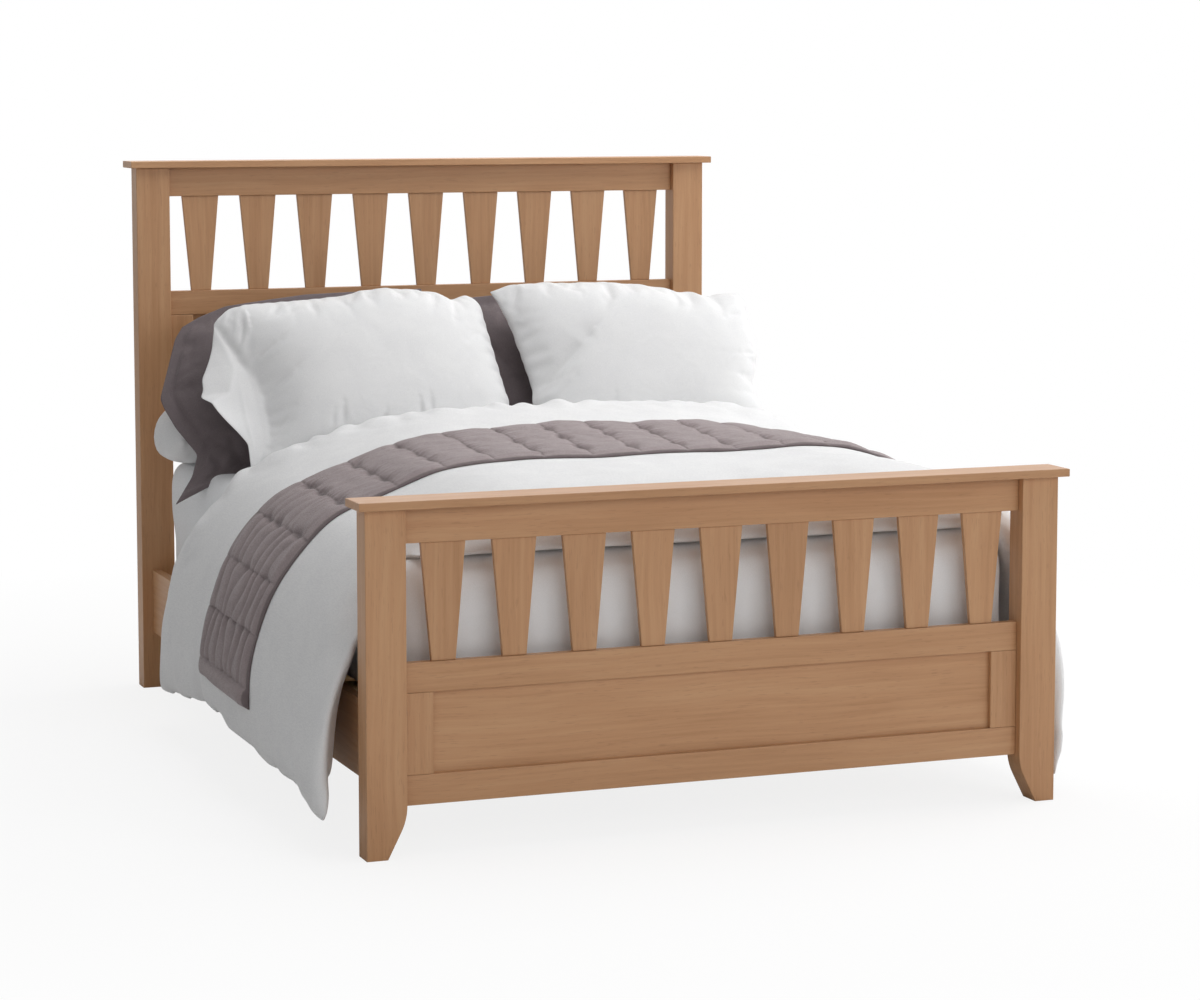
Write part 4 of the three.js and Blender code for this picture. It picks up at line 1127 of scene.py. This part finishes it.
def makeFloor():
    bm = bmesh.new()
    bmesh.ops.create_grid(bm, x_segments=4, y_segments=4, size=stageLook["size"] / 2)
    material, tree = newMaterial("floor_paint")
    diffuse = addNode(tree, "BsdfDiffuse", {"Color": paint(stageLook["colour"])})
    glow = addNode(tree, "Emission", {"Color": (1, 1, 1, 1), "Strength": 1.0})
    path = addNode(tree, "LightPath")
    place = addNode(tree, "TexCoord").outputs["Object"]
    away = addNode(tree, "VectorMath", {0: place}, operation="LENGTH")
    white = addNode(tree, "MapRange", {
        "Value": away.outputs["Value"], "From Min": stageLook["whiteFrom"],
        "From Max": stageLook["whiteBeyond"], "To Min": stageLook["whiteShare"], "To Max": 1.0})
    share = addNode(tree, "Math", {0: path.outputs["Is Camera Ray"], 1: white}, operation="MULTIPLY")
    mixed = addNode(tree, "MixShader", {0: share, 1: diffuse, 2: glow})
    finishMaterial(tree, mixed)
    floor = newPiece("floor", bm, material)


lamps = [
    {"name": "ceiling_softbox", "place": (0.5, 0.0, 4.0), "size": (3.6, 3.6), "power": 82},
    {"name": "front_right_softbox", "place": (2.9, -5.2, 2.5), "size": (2.4, 2.0), "power": 36},
    {"name": "front_softbox", "place": (0.2, -6.0, 2.6), "size": (2.4, 2.0), "power": 30},
    {"name": "front_left_softbox", "place": (-3.5, -5.2, 2.6), "size": (2.4, 2.0), "power": 16},
    {"name": "right_softbox", "place": (4.6, 0.6, 2.4), "size": (3.0, 2.4), "power": 112},
    {"name": "back_softbox", "place": (0.6, 4.6, 3.6), "size": (3.0, 2.0), "power": 26},
]
lampAim = (0, 0, 0.6)
# strengths of the room's light from each direction, and the same from all; the last is only seen
# as a reflection
roomLight = [((1, 0, 0), 0.47), ((-1, 0, 0), 0.17), ((0, 0, 1), 0.19)]
roomEven = 0.08
roomReflected = ((0, 1, 0), 0.9)


def makeLamps():
    for lamp in lamps:
        data = bpy.data.lights.new(lamp["name"], "AREA")
        data.shape = "RECTANGLE"
        data.size, data.size_y = lamp["size"]
        data.energy = lamp["power"]
        made = bpy.data.objects.new(lamp["name"], data)
        made.location = lamp["place"]
        aim = Vector(lampAim) - Vector(lamp["place"])
        made.rotation_euler = aim.to_track_quat("-Z", "Y").to_euler()
        scene.collection.objects.link(made)


def makeWorld():
    world = bpy.data.worlds.new("studio")
    scene.world = world
    world.use_nodes = True
    tree = world.node_tree
    tree.nodes.clear()
    path = addNode(tree, "LightPath")
    rays = {0: path.outputs["Is Camera Ray"], 1: path.outputs["Is Transmission Ray"]}
    seen = addNode(tree, "Math", rays, operation="MAXIMUM")
    direction = addNode(tree, "TexCoord").outputs["Generated"]

    def facing(towards, strength):
        cosine = addNode(tree, "VectorMath", {0: direction, 1: towards}, operation="DOT_PRODUCT")
        lit = addNode(tree, "Math", {0: cosine.outputs["Value"], 1: 0.0}, operation="MAXIMUM")
        return addNode(tree, "Math", {0: lit, 1: strength}, operation="MULTIPLY")

    fill = addNode(tree, "Value")
    fill.outputs[0].default_value = roomEven
    for towards, amount in roomLight:
        fill = addNode(tree, "Math", {0: fill, 1: facing(towards, amount)}, operation="ADD")
    mirrored = addNode(tree, "Math", {0: facing(*roomReflected), 1: path.outputs["Is Glossy Ray"]},
                       operation="MULTIPLY")
    fill = addNode(tree, "Math", {0: fill, 1: mirrored}, operation="ADD")
    strength = addNode(tree, "Mix", {"Factor": seen, "A": fill, "B": 1.0})
    glow = addNode(tree, "Background", {"Color": (1, 1, 1, 1), "Strength": strength})
    addNode(tree, "OutputWorld", {"Surface": glow})


makeCamera()
makeFloor()
makeLamps()
makeWorld()
scene.view_settings.view_transform = "Standard"

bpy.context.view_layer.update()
print(f"scene ready in {time.time() - started:.0f} s")
